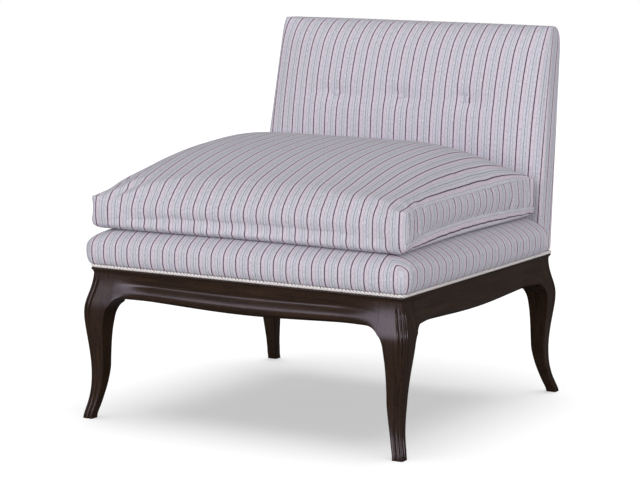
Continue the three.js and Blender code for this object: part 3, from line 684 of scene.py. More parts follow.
    def bump(self, height: Socket, distance: float, strength: float) -> None:
        """Raises the surface by a pattern, in metres, over any relief it has already.

        Args:
            height: The pattern.
            distance: Its depth.
            strength: How much of it shows.
        """
        made = self.node("Bump")
        made.inputs["Strength"].default_value = strength
        made.inputs["Distance"].default_value = distance
        self.feed(made.inputs["Height"], height)
        earlier = self.shader.inputs["Normal"].links
        if earlier:
            self.feed(made.inputs["Normal"], earlier[0].from_socket)
        self.feed(self.shader.inputs["Normal"], made.outputs["Normal"])


class Grain(Enum):
    """The direction in which wood grain runs."""

    ACROSS = (1.0, 14.0, 14.0)
    ALONG = (14.0, 1.0, 14.0)
    UP = (14.0, 14.0, 1.0)


@dataclass(frozen=True)
class StripedCloth:
    """Woven ticking with a plum stripe, a thin teal one and two faint grey ones in each repeat."""

    name: str = "striped_cloth"
    repeat: float = 0.02742
    drift: float = 0.0016
    warp: float = 0.0013
    weft: float = 0.0011
    ground: Colour = tone(227, 221, 230)
    rosy: Colour = tone(230, 218, 228)
    bluish: Colour = tone(220, 220, 229)
    plum: Colour = tone(92, 74, 98)
    teal: Colour = tone(138, 149, 160)
    grey: Colour = tone(177, 174, 187)
    fleck: Colour = tone(190, 186, 196)
    cloud: Colour = tone(222, 220, 226)

    def stops(self) -> list[tuple[float, Colour]]:
        """Lists the colours of one repeat, from the middle of one plum stripe to the next.

        Returns:
            Places and their colours.
        """
        bands = [
            (self.plum, 0.0, 0.036),
            (self.rosy, 0.052, 0.20),
            (self.ground, 0.285),
            (self.grey, 0.298, 0.315),
            (self.ground, 0.328),
            (self.bluish, 0.42, 0.508),
            (self.teal, 0.518, 0.552),
            (self.bluish, 0.562, 0.695),
            (self.grey, 0.708, 0.726),
            (self.bluish, 0.739),
            (self.ground, 0.86, 0.948),
            (self.plum, 0.964, 1.0),
        ]
        return [(place, colour) for colour, *places in bands for place in places]

    def build(self) -> bpy.types.Material:
        """Builds the cloth on the piece's own cloth map.

        Returns:
            The material.
        """
        surface = Surface(self.name, 0.86, Sheen_Weight=0.12, Specular_IOR_Level=0.22)
        cloth = surface.cloth_map()
        across, along, _ = surface.split(cloth)
        wander = surface.math("SUBTRACT", surface.dapple((9, 9, 9), 1.0, cloth), 0.5)
        shifted = surface.math("ADD", across, surface.math("MULTIPLY", wander, self.drift))
        stripes = surface.ramp(surface.turns(shifted, self.repeat), self.stops())
        yarn = surface.dapple((900, 160, 1), 3.0, cloth)
        slub = surface.dapple((420, 240, 1), 2.0, cloth)
        fleck = surface.ramp(yarn, [(0.32, self.fleck), (0.68, WHITE)])
        cloud = surface.ramp(slub, [(0.35, self.cloud), (0.65, WHITE)])
        surface.colour(surface.mix(0.5, surface.mix(0.55, stripes, fleck, "MULTIPLY"), cloud, "MULTIPLY"))
        weave = surface.math("MULTIPLY", surface.wave(across, self.warp), surface.wave(along, self.weft))
        surface.bump(weave, 0.00012, 0.6)
        surface.bump(surface.dapple((60, 60, 60), 3.0), 0.0012, 0.35)
        return surface.material


@dataclass(frozen=True)
class PlainCloth:
    """A plain woven cloth: decking or dust cover."""

    name: str
    light: Colour
    dark: Colour
    thread: float = 0.0011

    def build(self) -> bpy.types.Material:
        """Builds the cloth on object coordinates.

        Returns:
            The material.
        """
        surface = Surface(self.name, 0.92, Sheen_Weight=0.08, Specular_IOR_Level=0.2)
        fleck = surface.noise(surface.stretched([1 / self.thread] * 3, surface.places()), 0.35, 3.0)
        surface.colour(surface.ramp(fleck, [(0.3, self.dark), (0.68, self.light)]))
        surface.bump(fleck, self.thread * 0.4, 0.6)
        return surface.material


@dataclass(frozen=True)
class WeltCloth:
    """The striped cloth cut on the bias and wound round a cord, so only dots of its stripes show."""

    name: str = "welt_cloth"
    spacing: float = 0.0308
    ground: Colour = tone(240, 234, 231)
    dot: Colour = tone(120, 92, 112)
    faint: Colour = tone(158, 156, 164)
    faint_places: tuple = (0.27, 0.52, 0.77)

    def build(self) -> bpy.types.Material:
        """Builds the cord's cloth on its own cloth map.

        Returns:
            The material.
        """
        surface = Surface(self.name, 0.85, Sheen_Weight=0.12, Specular_IOR_Level=0.22)
        along, around, _ = surface.split(surface.cloth_map())
        share = surface.turns(surface.math("ADD", along, around), self.spacing)
        stops = [(0.0, self.dot), (0.05, self.dot), (0.09, self.ground)]
        for place in self.faint_places:
            stops += [(place - 0.05, self.ground), (place - 0.02, self.faint)]
            stops += [(place + 0.02, self.faint), (place + 0.05, self.ground)]
        stops += [(1.0, self.ground)]
        surface.colour(surface.ramp(share, stops))
        surface.bump(surface.dapple((900, 900, 900), 2.0), 0.0003, 0.6)
        return surface.material


@dataclass(frozen=True)
class PolishedWood:
    """Dark stained hardwood under a satin lacquer."""

    name: str
    grain: Grain
    deep: Colour = tone(31, 22, 16)
    warm: Colour = tone(60, 43, 31)
    tint: Colour = (0.88, 0.8, 1.0, 1.0)

    def build(self) -> bpy.types.Material:
        """Builds the wood with its grain in one direction.

        Returns:
            The material.
        """
        surface = Surface(self.name, 0.24, Specular_IOR_Level=0.5, Specular_Tint=self.tint)
        fibres = surface.stretched(self.grain.value, surface.places())
        pores = surface.noise(fibres, 70.0, 3.0)
        stained = surface.ramp(surface.noise(fibres, 9.0, 5.0), [(0.3, self.deep), (0.72, self.warm)])
        surface.colour(surface.mix(0.35, stained, surface.ramp(pores, [(0.35, self.deep), (0.6, self.warm)])))
        surface.roughness(pores, 0.2, 0.28)
        surface.bump(pores, 0.0002, 0.25)
        return surface.material


@dataclass(frozen=True)
class RawWood:
    """Unfinished beech of the hidden frame."""

    name: str
    grain: Grain
    light: Colour = tone(214, 180, 138)
    dark: Colour = tone(178, 138, 96)

    def build(self) -> bpy.types.Material:
        """Builds the wood with its grain in one direction.

        Returns:
            The material.
        """
        surface = Surface(self.name, 0.62, Specular_IOR_Level=0.3)
        fibres = surface.stretched(self.grain.value, surface.places())
        flecks = surface.noise(fibres, 60.0, 2.0)
        plain = surface.ramp(surface.noise(fibres, 7.0, 6.0), [(0.3, self.dark), (0.7, self.light)])
        surface.colour(surface.mix(0.25, plain, surface.ramp(flecks, [(0.4, self.dark), (0.6, self.light)])))
        surface.bump(flecks, 0.0003, 0.5)
        return surface.material


@dataclass(frozen=True)
class DrawnSteel:
    """Bright drawn wire and stamped strap, a little dulled."""

    name: str = "drawn_steel"
    dull: Colour = tone(120, 122, 126)
    bright: Colour = tone(176, 178, 182)

    def build(self) -> bpy.types.Material:
        """Builds the steel.

        Returns:
            The material.
        """
        surface = Surface(self.name, 0.35, Metallic=1.0)
        cloud = surface.dapple((40, 40, 40), 4.0)
        surface.colour(surface.ramp(cloud, [(0.3, self.dull), (0.7, self.bright)]))
        surface.roughness(cloud, 0.28, 0.5)
        surface.bump(surface.dapple((600, 600, 600), 2.0), 0.0001, 0.4)
        return surface.material


@dataclass(frozen=True)
class JuteWeb:
    """Coarse jute webbing with its over and under threads."""

    name: str = "jute_web"
    thread: float = 0.0022
    dark: Colour = tone(134, 106, 66)
    light: Colour = tone(196, 170, 122)

    def build(self) -> bpy.types.Material:
        """Builds the webbing on object coordinates.

        Returns:
            The material.
        """
        surface = Surface(self.name, 0.95, Sheen_Weight=0.1)
        across, _, up = surface.split(surface.places())
        weave = surface.math("MULTIPLY", surface.wave(across, self.thread), surface.wave(up, self.thread))
        surface.colour(surface.ramp(surface.half_up(weave), [(0.0, self.dark), (1.0, self.light)]))
        surface.bump(weave, 0.0004, 0.8)
        return surface.material


@dataclass(frozen=True)
class ZipCoil:
    """A pale zip: woven tape with the fine cross ribs of its coil."""

    name: str = "zip_coil"
    tooth: float = 0.0016
    dark: Colour = tone(186, 182, 190)
    light: Colour = tone(228, 224, 230)

    def build(self) -> bpy.types.Material:
        """Builds the zip on object coordinates.

        Returns:
            The material.
        """
        surface = Surface(self.name, 0.6, Specular_IOR_Level=0.4)
        ribs = surface.wave(surface.split(surface.places())[0], self.tooth)
        surface.colour(surface.ramp(surface.half_up(ribs), [(0.0, self.dark), (1.0, self.light)]))
        surface.bump(ribs, 0.0004, 0.8)
        return surface.material


@dataclass
class FinishBook:
    """Keeps one material of each finish, built when first asked for."""

    made: dict[object, bpy.types.Material] = field(default_factory=dict)

    def get(self, finish: object) -> bpy.types.Material:
        """Finds or builds the material of a finish.

        Args:
            finish: The finish.

        Returns:
            The material.
        """
        if finish not in self.made:
            self.made[finish] = finish.build()
        return self.made[finish]

    def dress(self, piece: Piece, *finishes: object) -> None:
        """Gives a piece its material or materials, in slot order.

        Args:
            piece: The piece.
            *finishes: Its finishes.
        """
        piece.data.materials.clear()
        for finish in finishes:
            piece.data.materials.append(self.get(finish))


def hand_over(piece: Piece, replaced: Sequence[str], body: str = "frame") -> None:
    """Settles what a finished piece rides on and stands for.

    Args:
        piece: The finished piece.
        replaced: The solids that it stands for.
        body: The body that it rides on.
    """
    deselect_all()
    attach(piece, body)
    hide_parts(*replaced)
    LOG.info("%s: %d faces, rides on %s", piece.name, len(piece.data.polygons), body)


# The base


@dataclass
class Base:
    """Four cabriole legs, four ogee aprons and the moulded lip on top of them."""

    finishes: FinishBook
    width: float = 0.690
    depth: float = 0.729
    wood_top: float = 0.306
    lip_height: float = 0.010
    lip_width: float = 0.034
    apron_offset: float = 0.004
    apron_thickness: float = 0.024
    apron_depth: float = 0.047
    apron_arch: float = 0.013
    apron_arch_length: float = 0.030
    apron_arch_power: float = 2.8
    apron_bow: float = 0.008
    apron_bulge: float = 0.006
    apron_arris: float = 0.002
    apron_blend: float = 0.090
    block_width: float = 0.050
    knee_width: float = 0.044
    edge_radius: float = 0.005
    foot_kick: float = 0.036
    kick_height: float = 0.190
    reed_pitch: float = 0.0086
    reed_depth: float = 0.0036
    reed_flat: float = 0.0146
    reeds_beside: int = 2
    reed_steps: int = 30
    shaft_share: float = 0.35
    shaft_start: tuple = (0.1, 0.3)
    shaft_end: tuple = (0.58, 0.74)
    reeds_end: tuple = (0.93, 0.968)
    groove_limit: float = 0.995
    block_start: float = 0.93
    inner_radius_share: float = 0.6
    arris: float = 0.0006
    knee_easing: tuple = (-0.012, -0.008, -0.004, 0.0, 0.004, 0.008, 0.012)
    flat_steps: tuple = (0.04, 0.2, 0.5, 0.8, 0.96)
    joint_gap: float = 0.0003
    free_leg: tuple = (
        (0, -0.28, 0.25), (0.038, -0.25, 0.27), (0.113, -0.14, 0.38), (0.2, -0.05, 0.49), (0.3, 0, 0.6),
        (0.425, 0, 0.69), (0.525, -0.035, 0.7), (0.65, -0.11, 0.715), (0.765, -0.19, 0.75),
        (0.865, -0.25, 0.815), (0.91, -0.26, 0.86), (0.945, -0.255, 0.925), (0.978, -0.24, 1.02),
        (1, -0.225, 1.13636),
    )
    leg_block: tuple = ((0.21, -0.14), (0.41, -0.065), (0.61, 0), (0.8, 0.045), (1, 0.07))
    apron_table: ShareTable = ShareTable((
        (0, 0), (0.14, -0.2), (0.28, -0.38), (0.37, -0.42), (0.43, -0.26), (0.51, 0.12), (0.6, 0.5),
        (0.69, 0.76), (0.77, 0.82), (0.85, 0.68), (0.92, 0.3), (1, -0.6),
    ))
    lip_table: ShareTable = ShareTable((
        (0, 0.36, 0), (1, 0.33, 0.2), (2, 0.22, 0.44), (3, 0.07, 0.62), (4, 0, 0.78), (5, 0.03, 0.92),
        (6, 0.14, 1),
    ))

    @property
    def cloth_foot(self) -> float:
        """The level where the upholstery starts."""
        return self.wood_top + self.joint_gap

    @property
    def leg_top(self) -> float:
        """The level where the legs meet the lip."""
        return self.wood_top - self.lip_height

    @property
    def block_foot(self) -> float:
        """The level down to which a leg is the block that the aprons join."""
        return self.leg_top - self.apron_depth - self.apron_arch

    @cached_property
    def leg_table(self) -> ShareTable:
        """Heights, and how far in the outer and inner faces of a leg lie there.

        Returns:
            The table.
        """
        foot, knee = self.block_foot, self.knee_width
        rows = [(up * foot, outer * knee, inner * knee) for up, outer, inner in self.free_leg]
        block = self.leg_top - foot
        rows += [(foot + up * block, outer * knee, self.block_width) for up, outer in self.leg_block]
        return ShareTable(tuple(rows))

    def outer_face(self, level: Values) -> np.ndarray:
        """How far in the leg's outer faces lie at a level, eased over the knee's bends."""
        near = [self.leg_table.read(np.asarray(level) + step, 1) for step in self.knee_easing]
        return np.mean(near, axis=0)

    def inner_face(self, level: Values) -> np.ndarray:
        """How far in the leg's inner faces lie at a level."""
        return np.minimum(self.block_width, self.leg_table.read(level, 2))

    def reed_share(self, level: float) -> float:
        """The share of their depth that the reeds keep at a level: less on the shaft, none at the lip.

        Args:
            level: The level.

        Returns:
            The share.
        """
        place = level / self.leg_top
        on_shaft = smoothstep(*self.shaft_start, place) * (1 - smoothstep(*self.shaft_end, place))
        return float((1 - smoothstep(*self.reeds_end, place)) * blend_values(1, self.shaft_share, on_shaft))

    def reeded_corner(self, outer: float, level: float) -> np.ndarray:
        """The outer corner of a leg's section: round reeds with sharp grooves between them.

        Args:
            outer: How far in the outer faces lie.
            level: The height of the section.

        Returns:
            The corner's points, in the corner's own frame.
        """
        radius = self.edge_radius
        flat = np.linspace(self.reed_flat, 0, self.reed_steps, endpoint=False)
        on_face, edge = np.ones_like(flat), np.full_like(flat, outer)
        angles = math.pi * (1 + 0.5 * np.linspace(0, 1, 21))
        centre = outer + radius
        x = np.concatenate([edge, centre + radius * np.cos(angles), centre + flat[::-1]])
        y = np.concatenate([centre + flat, centre + radius * np.sin(angles), edge])
        inward_x = np.concatenate([on_face, -np.cos(angles), 0 * on_face])
        inward_y = np.concatenate([0 * on_face, -np.sin(angles), on_face])
        quarter = radius * math.pi / 4
        run = np.concatenate([quarter + flat, radius * np.abs(angles - 1.25 * math.pi), quarter + flat[::-1]])
        lobe = 2 * np.abs(run / self.reed_pitch - np.rint(run / self.reed_pitch))
        lobe = np.where(run > self.reeds_beside * self.reed_pitch, 0, np.minimum(lobe, self.groove_limit))
        cut = self.reed_depth * self.reed_share(level) * (1 - np.sqrt(1 - lobe**2))
        return np.stack([x + cut * inward_x, y + cut * inward_y], 1)

    def leg_ring(self, level: float) -> np.ndarray:
        """One section of a leg, in the corner's own frame.

        Args:
            level: The height of the section.

        Returns:
            Its points, as distances in from the two outer edges of the base.
        """
        outer, inner = float(self.outer_face(level)), float(self.inner_face(level))
        joined = float(smoothstep(self.block_start * self.block_foot, self.block_foot, level))
        soft = self.edge_radius * self.inner_radius_share
        beside = blend_values(soft, self.joint_gap, joined)
        flat = np.array(self.flat_steps)[:, None]
        reeds = self.reeded_corner(outer, level)
        points, last = [reeds], reeds[-1]
        corners = ((inner, outer, beside, 1.5), (inner, inner, soft, 0.0), (outer, inner, beside, 0.5))
        for x, y, radius, start in corners:
            angles = math.pi * (start + 0.5 * np.linspace(0, 1, 7))
            centre_x = x + radius if x == outer else x - radius
            centre_y = y + radius if y == outer else y - radius
            corner = np.stack([centre_x + radius * np.cos(angles), centre_y + radius * np.sin(angles)], 1)
            points += [last + (corner[0] - last) * flat, corner]
            last = corner[-1]
        points.append(last + (reeds[0] - last) * flat)
        return np.concatenate(points)

    def finish(self, piece: Piece, grain: Grain, node: str) -> None:
        """Dresses one piece in dark wood and hands it over for its solid."""
        self.finishes.dress(piece, PolishedWood(f"dark_wood_{grain.name.lower()}", grain))
        hand_over(piece, [node])

    def build_leg(self, name: str, side: int, rear: bool) -> None:
        """Builds one leg.

        Args:
            name: The leg's place in words.
            side: -1 for the left and 1 for the right.
            rear: Whether it is a rear leg, whose foot turns back.
        """
        rings = []
        for level in self.leg_top * spaced([0, 0.03, 0.66, 0.86, 1], [3, 34, 22, 10]):
            ring = self.leg_ring(level)
            kick = self.foot_kick * max(0.0, 1 - level / self.kick_height) ** 2
            x = side * (self.width / 2 - ring[:, 0])
            y = FRONT + (self.depth - ring[:, 1] + kick if rear else ring[:, 1])
            rings.append(np.stack([x, y, np.full_like(x, level)], 1))
        leg = loft(f"cabriole_leg_{name}", np.array(rings))
        sharp = math.radians(60)
        apply_modifier(leg, "BEVEL", width=self.arris, segments=2, limit_method="ANGLE", angle_limit=sharp)
        shade_smooth(leg, 42)
        apply_modifier(leg, "WEIGHTED_NORMAL", keep_sharp=True)
        self.finish(leg, Grain.UP, f"leg_{name}")

    def on_side(self, side: str, along: np.ndarray, inwards: np.ndarray, level: np.ndarray) -> np.ndarray:
        """Places points of one side of the base.

        Args:
            side: Which side.
            along: Distances along it from its middle.
            inwards: Distances in from its outer edge.
            level: Heights.

        Returns:
            The points.
        """
        half_width, half_depth = self.width / 2, self.depth / 2
        x, y = {
            "front": (along, inwards),
            "right": (half_width - inwards, half_depth + along),
            "rear": (-along, self.depth - inwards),
            "left": (-half_width + inwards, half_depth - along),
        }[side]
        return np.stack(np.broadcast_arrays(x, FRONT + y, level), -1)

    def build_apron(self, side: str, length: float, grain: Grain) -> None:
        """Builds one apron, whose ogee face runs out into the knees at its ends.

        Args:
            side: Which side of the base.
            length: The base's length on that side.
            grain: How its grain runs.
        """
        half = length / 2 - self.block_width - self.joint_gap
        shares = np.concatenate([np.linspace(0, 0.86, 26), np.linspace(0.88, 1, 9)])
        inner = self.apron_offset + self.apron_thickness
        rings = []
        for along in -half * np.cos(np.pi * np.linspace(0, 1, 81)):
            blend = float(smoothstep(0, self.apron_blend, half - abs(along)))
            bow = self.apron_bow * math.cos(math.pi / 2 * along / half) ** 2
            arch = max(0.0, 1 - (half - abs(along)) / self.apron_arch_length) ** self.apron_arch_power
            depth = self.apron_depth + bow + self.apron_arch * arch
            level = self.leg_top - self.joint_gap - shares * depth
            swell = self.apron_offset - self.apron_table.read(shares, 1) * self.apron_bulge
            under = self.apron_arris * (1 - blend) * smoothstep(0.94, 1, shares)
            face = blend_values(self.outer_face(level), swell, blend) + under
            offsets = np.concatenate([face, [inner, inner]])
            levels = np.concatenate([level, [level[-1], level[0]]])
            rings.append(self.on_side(side, np.full_like(offsets, along), offsets, levels))
        apron = loft(f"ogee_apron_{side}", np.array(rings))
        shade_smooth(apron, 50)
        self.finish(apron, grain, f"apron_{side}")

    def build_lip(self, side: str, length: float, grain: Grain) -> None:
        """Builds one length of the moulded lip, mitred at both ends.

        Args:
            side: Which side of the base.
            length: The base's length on that side.
            grain: How its grain runs.
        """
        steps = np.linspace(0, 6, 19)
        inwards, up = (self.lip_table.read(steps, column) * self.lip_height for column in (1, 2))
        offsets = np.concatenate([np.maximum(inwards, 0), [self.lip_width, self.lip_width]])
        face = self.leg_top + np.minimum(up, self.lip_height)
        levels = np.concatenate([face, [self.wood_top, self.leg_top]])
        lengths = length / 2 - offsets - self.joint_gap / 2
        rings = [self.on_side(side, share * lengths, offsets, levels) for share in np.linspace(-1, 1, 9)]
        lip = loft(f"moulded_lip_{side}", np.array(rings))
        shade_smooth(lip, 40)
        self.finish(lip, grain, f"lip_{side}")

    def build(self) -> None:
        """Builds the whole base."""
        for end in ("front", "rear"):
            for side, word in ((-1, "left"), (1, "right")):
                self.build_leg(f"{end}_{word}", side, end == "rear")
        for side in ("front", "right", "rear", "left"):
            crosswise = side in ("front", "rear")
            length, grain = (self.width, Grain.ACROSS) if crosswise else (self.depth, Grain.ALONG)
            self.build_apron(side, length, grain)
            self.build_lip(side, length, grain)


# The tight seat


def rounded_plan(half: float, low: float, high: float, front_radius: float, rear_radius: float) -> np.ndarray:
    """A rectangle in plan with rounded corners, always with the same number of points.

    Args:
        half: Half the width.
        low: The front edge's depth.
        high: The rear edge's depth.
        front_radius: The radius of the front corners.
        rear_radius: The radius of the rear corners.

    Returns:
        The points, from the front left corner through the front edge and round.
    """
    corners = [
        (-half + front_radius, low + front_radius, front_radius, 1.0),
        (half - front_radius, low + front_radius, front_radius, 1.5),
        (half - rear_radius, high - rear_radius, rear_radius, 0.0),
        (-half + rear_radius, high - rear_radius, rear_radius, 0.5),
    ]
    arcs = []
    for x, y, radius, start in corners:
        angles = math.pi * (start + 0.5 * np.linspace(0, 1, 15))
        arcs.append(np.stack([x + radius * np.cos(angles), y + radius * np.sin(angles)], 1))
    points = []
    for arc, following, count in zip(arcs, arcs[1:] + arcs[:1], (110, 110, 48, 110)):
        steps = np.linspace(0, 1, count + 1)[1:-1, None]
        points += [arc, arc[-1] + (following[0] - arc[-1]) * steps]
    return np.concatenate(points)


def run_of(points: np.ndarray) -> np.ndarray:
    """The length of the way along rows of points up to each of them."""
    return np.concatenate([[0], np.cumsum(np.linalg.norm(np.diff(points, axis=0), axis=1))])


@dataclass
class SeatDeck:
    """The tight seat: striped cloth over the edge, plain decking under the cushion."""

    finishes: FinishBook
    base: Base
    height: float = 0.082
    bulge: float = 0.014
    corner_radius: float = 0.026
    rear: float = 0.6640
    rear_lean: float = 0.15
    rear_radius_share: float = 0.16
    rear_roll: float = 0.12
    least_radius: float = 0.004
    radius_fall: float = 0.35
    sink: float = 0.0012
    lumps: float = 0.0007
    plum_place: float = 0.0223
    corner_stretch: float = 0.0068
    stretched_from: tuple = (0.26, 0.335)
    fold_plum: float = 0.0295
    fold_start: float = 0.0065
    fold_slopes: tuple = (1.02, 0.86)
    fold_softness: float = 0.006
    fold_levels: tuple = (0.55, 0.78)
    left_fold_shift: float = 0.045
    top_radius: float = 0.060
    border: float = 0.0463
    border_seam: float = 0.0012
    rear_border: float = 0.054
    lump_seed: float = 2.0
    lump_spread: float = 0.05
    decking_depth: float = 0.004
    decking: PlainCloth = PlainCloth("decking_cloth", tone(226, 218, 202), tone(204, 195, 178))
    insets: tuple = (0.044, 0.0455, 0.047, 0.0485, 0.056, 0.08, 0.12, 0.18, 0.26)
    table: ShareTable = ShareTable((
        (0, -0.5, 0.4), (0.077, -0.45, 0.4), (0.086, 0.22, 0.5), (0.15, 0.62, 0.7), (0.29, 0.94, 0.95),
        (0.46, 1, 1), (0.61, 0.9, 1.05), (0.74, 0.35, 1.15), (0.83, -0.4, 1.3), (0.9, -1.2, 1.5),
        (0.955, -2.1, 1.75), (0.99, -3, 1.9), (1, -4, 2.05),
    ))

    @property
    def half(self) -> float:
        """Half the width over the widest part of the wall."""
        return self.base.width / 2 + self.bulge

    def corner_run(self, away: Values) -> np.ndarray:
        """The cloth's length from the middle of a corner to a place some distance in from the far face."""
        bend = np.arccos(1 - np.clip(away / self.corner_radius, 0, 1)) - math.pi / 4
        return self.corner_radius * bend + np.maximum(0, away - self.corner_radius)

    def stripe_place(self, plan: np.ndarray, out: float, radius: float, over: float) -> np.ndarray:
        """Finds where the stripes run: upright round the corners of the wall, in nested arches on the top.

        Args:
            plan: Places across and in depth on one level.
            out: How far the level stands out over the base.
            radius: The level's corner radius.
            over: 0 on the wall and 1 on the top.

        Returns:
            The distance across the stripes, from a plum one.
        """
        x, y = np.abs(plan[:, 0]), plan[:, 1]
        front_run, side_run = self.corner_run(self.half - x), self.corner_run(y + self.bulge)
        centre_x, centre_y = self.base.width / 2 + out - radius, radius - out
        turn = np.arctan2(centre_y - y, x - centre_x) / (math.pi / 4) - 1
        turned = self.corner_run(np.array(self.half - centre_x)) * turn
        on_corner = (x > centre_x) & (y < centre_y)
        front_run = np.where(on_corner, blend_values(turned, front_run, over), front_run)
        side_run = np.where(on_corner, blend_values(-turned, side_run, over), side_run)
        first = front_run + self.corner_stretch * smoothstep(*self.stretched_from, plan[:, 0])
        slope = np.where(side_run < self.fold_start, *self.fold_slopes)
        second = self.fold_plum + slope * (side_run - self.fold_start)
        second = second - np.where(plan[:, 0] < 0, self.left_fold_shift, 0)
        soft = max(SEAM, self.fold_softness * over)
        near = np.clip(1 - np.abs(first - second) / soft, 0, 1)
        nested = np.maximum(first, second) + near**2 * soft / 4
        edge = self.half - (1 - math.pi / 4) * self.corner_radius
        return np.where(plan[:, 0] > 0, edge - nested, nested - edge) - self.plum_place

    def surface_level(self, x: np.ndarray, y: np.ndarray) -> np.ndarray:
        """The height of the deck's top, which falls away over its rounded edges.

        Args:
            x: Places across.
            y: Depths from the front of the base.

        Returns:
            The heights.
        """
        from_side = np.maximum(self.top_radius - (self.half - np.abs(x)), 0)
        reach = np.hypot(from_side, np.maximum(self.top_radius - (y + self.bulge), 0))
        inwards = np.maximum(0, np.where(reach > 0, self.top_radius - reach, self.top_radius))
        shares = np.linspace(0.5, 1, 60)
        profile = np.maximum.accumulate((1 - self.table.read(shares, 1)) * self.bulge)
        low, high = self.base.cloth_foot, self.base.wood_top + self.height
        return low + (high - low) * np.interp(inwards, profile, shares)

    def ring(self, share: float, level: float, inset: float = 0.0) -> tuple[np.ndarray, np.ndarray]:
        """One level section of the deck.

        Args:
            share: The share of the deck's height.
            level: The height.
            inset: How much further in than the table says.

        Returns:
            The section's points, and the place of each across the stripes.
        """
        bulge = float(self.table.read(share, 1))
        out = bulge * self.bulge - inset
        radius = self.corner_radius * float(self.table.read(share, 2)) - self.radius_fall * inset
        radius = max(self.least_radius, radius)
        roll = self.rear_roll * self.bulge * min(0.0, bulge + 0.5)
        rear = self.rear - inset + roll + self.rear_lean * (level - self.base.wood_top)
        plan = rounded_plan(self.base.width / 2 + out, -out, rear, radius, self.rear_radius_share * radius)
        stripes = self.stripe_place(plan, out, radius, float(smoothstep(*self.fold_levels, share)))
        return np.column_stack([plan[:, 0], FRONT + plan[:, 1], np.full(len(plan), level)]), stripes

    def sections(self) -> tuple[np.ndarray, np.ndarray]:
        """Lays the sections of the wall, and over its edge those of the top.

        Returns:
            The points of every section, and the place of each across the stripes.
        """
        low, high = self.base.cloth_foot, self.base.wood_top + self.height
        foot, head = [0, 0.04, 0.074, 0.08, 0.086, 0.095], [0.965, 0.985, 1]
        shares = np.concatenate([foot, np.linspace(0.12, 0.94, 40), head])
        sections = [self.ring(share, blend_values(low, high, share)) for share in shares]
        for inset in np.concatenate([np.linspace(0.005, 0.04, 8), self.insets]):
            lowered = self.sink * float(smoothstep(0.0, 0.044, inset))
            seam = self.border_seam * float(bell(inset - self.border, self.border_seam))
            sections.append(self.ring(1, high - lowered - seam, inset))
        rings, stripes = (np.array(part) for part in zip(*sections))
        outwards = rings[:, :, :2] - np.array([0.0, FRONT + self.rear / 2])
        outwards /= np.linalg.norm(outwards, axis=2, keepdims=True)
        wave = ripple(run_of(rings[10, :, :2]), self.lump_seed)
        swell = np.exp(-(((rings[:, :, 2] - low) / (high - low) - 0.5) ** 2) / self.lump_spread)
        rings[:, :, :2] += outwards * (self.lumps * wave * swell)[..., None]
        return rings, stripes

    def build(self) -> None:
        """Builds the deck as one padded piece, with decking inside its striped border."""
        rings, stripes = self.sections()
        stripes = np.concatenate([stripes, stripes[:, :1]], 1)
        wrapped = np.concatenate([rings, rings[:, :1]], 1)
        deck = loft("seat_deck", rings, cloth=np.stack([stripes, wrapped[..., 2] + wrapped[..., 1]], -1))
        self.finishes.dress(deck, StripedCloth(), self.decking)
        start = 4 * self.bulge + self.border
        half, front, rear = self.base.width / 2 - start, FRONT + start, FRONT + self.rear - self.rear_border
        high = self.base.wood_top + self.height
        for face in deck.data.polygons:
            x, y, z = face.center
            face.material_index = int(z > high - self.decking_depth and abs(x) < half and front < y < rear)
        shade_smooth(deck, 60)
        hand_over(deck, ["deck_cover", "deck_pad"])


@dataclass
class Welt:
    """The covered cord that runs round the foot of the upholstery."""

    finishes: FinishBook
    base: Base
    radius: float = 0.0034
    inset: float = 0.0001
    bead: float = 0.0077
    bead_swell: float = 0.07
    lumps: float = 0.04
    lump_seed: float = 5.0
    corner_radius: float = 0.008
    sides: int = 12

    def build(self) -> None:
        """Builds the cord as one closed round."""
        half, rear = self.base.width / 2 - self.inset, self.base.depth - self.inset
        plan = rounded_plan(half, self.inset, rear, self.corner_radius, self.corner_radius)
        run = run_of(np.concatenate([plan, plan[:1]]))
        keep = np.concatenate([[True], np.diff(run[:-1]) > SEAM])
        route, run = plan[keep], np.append(run[:-1][keep], run[-1])
        along = np.roll(route, -1, 0) - np.roll(route, 1, 0)
        outwards = np.stack([along[:, 1], -along[:, 0]], 1)
        outwards /= np.linalg.norm(outwards, axis=1, keepdims=True)
        beads = self.bead_swell * np.cos(TWO_PI * run[:-1] / self.bead)
        girth = self.radius * (1 + self.lumps * ripple(run[:-1], self.lump_seed) + beads)
        angles = np.linspace(0, TWO_PI, self.sides + 1)
        rings = np.empty((len(route), self.sides, 3))
        out = girth[:, None] * np.cos(angles[:-1])
        rings[..., :2] = route[:, None] + outwards[:, None] * out[..., None]
        rings[..., 1] += FRONT
        rings[..., 2] = self.base.cloth_foot + self.radius + self.radius * np.sin(angles[:-1])
        cloth = np.stack(np.broadcast_arrays(run[:, None], self.radius * angles), -1)
        welt = loft("covered_welt", rings, looped=True, cloth=cloth)
        shade_smooth(welt)
        self.finishes.dress(welt, WeltCloth())
        hand_over(welt, ["base_welt"])


# The back


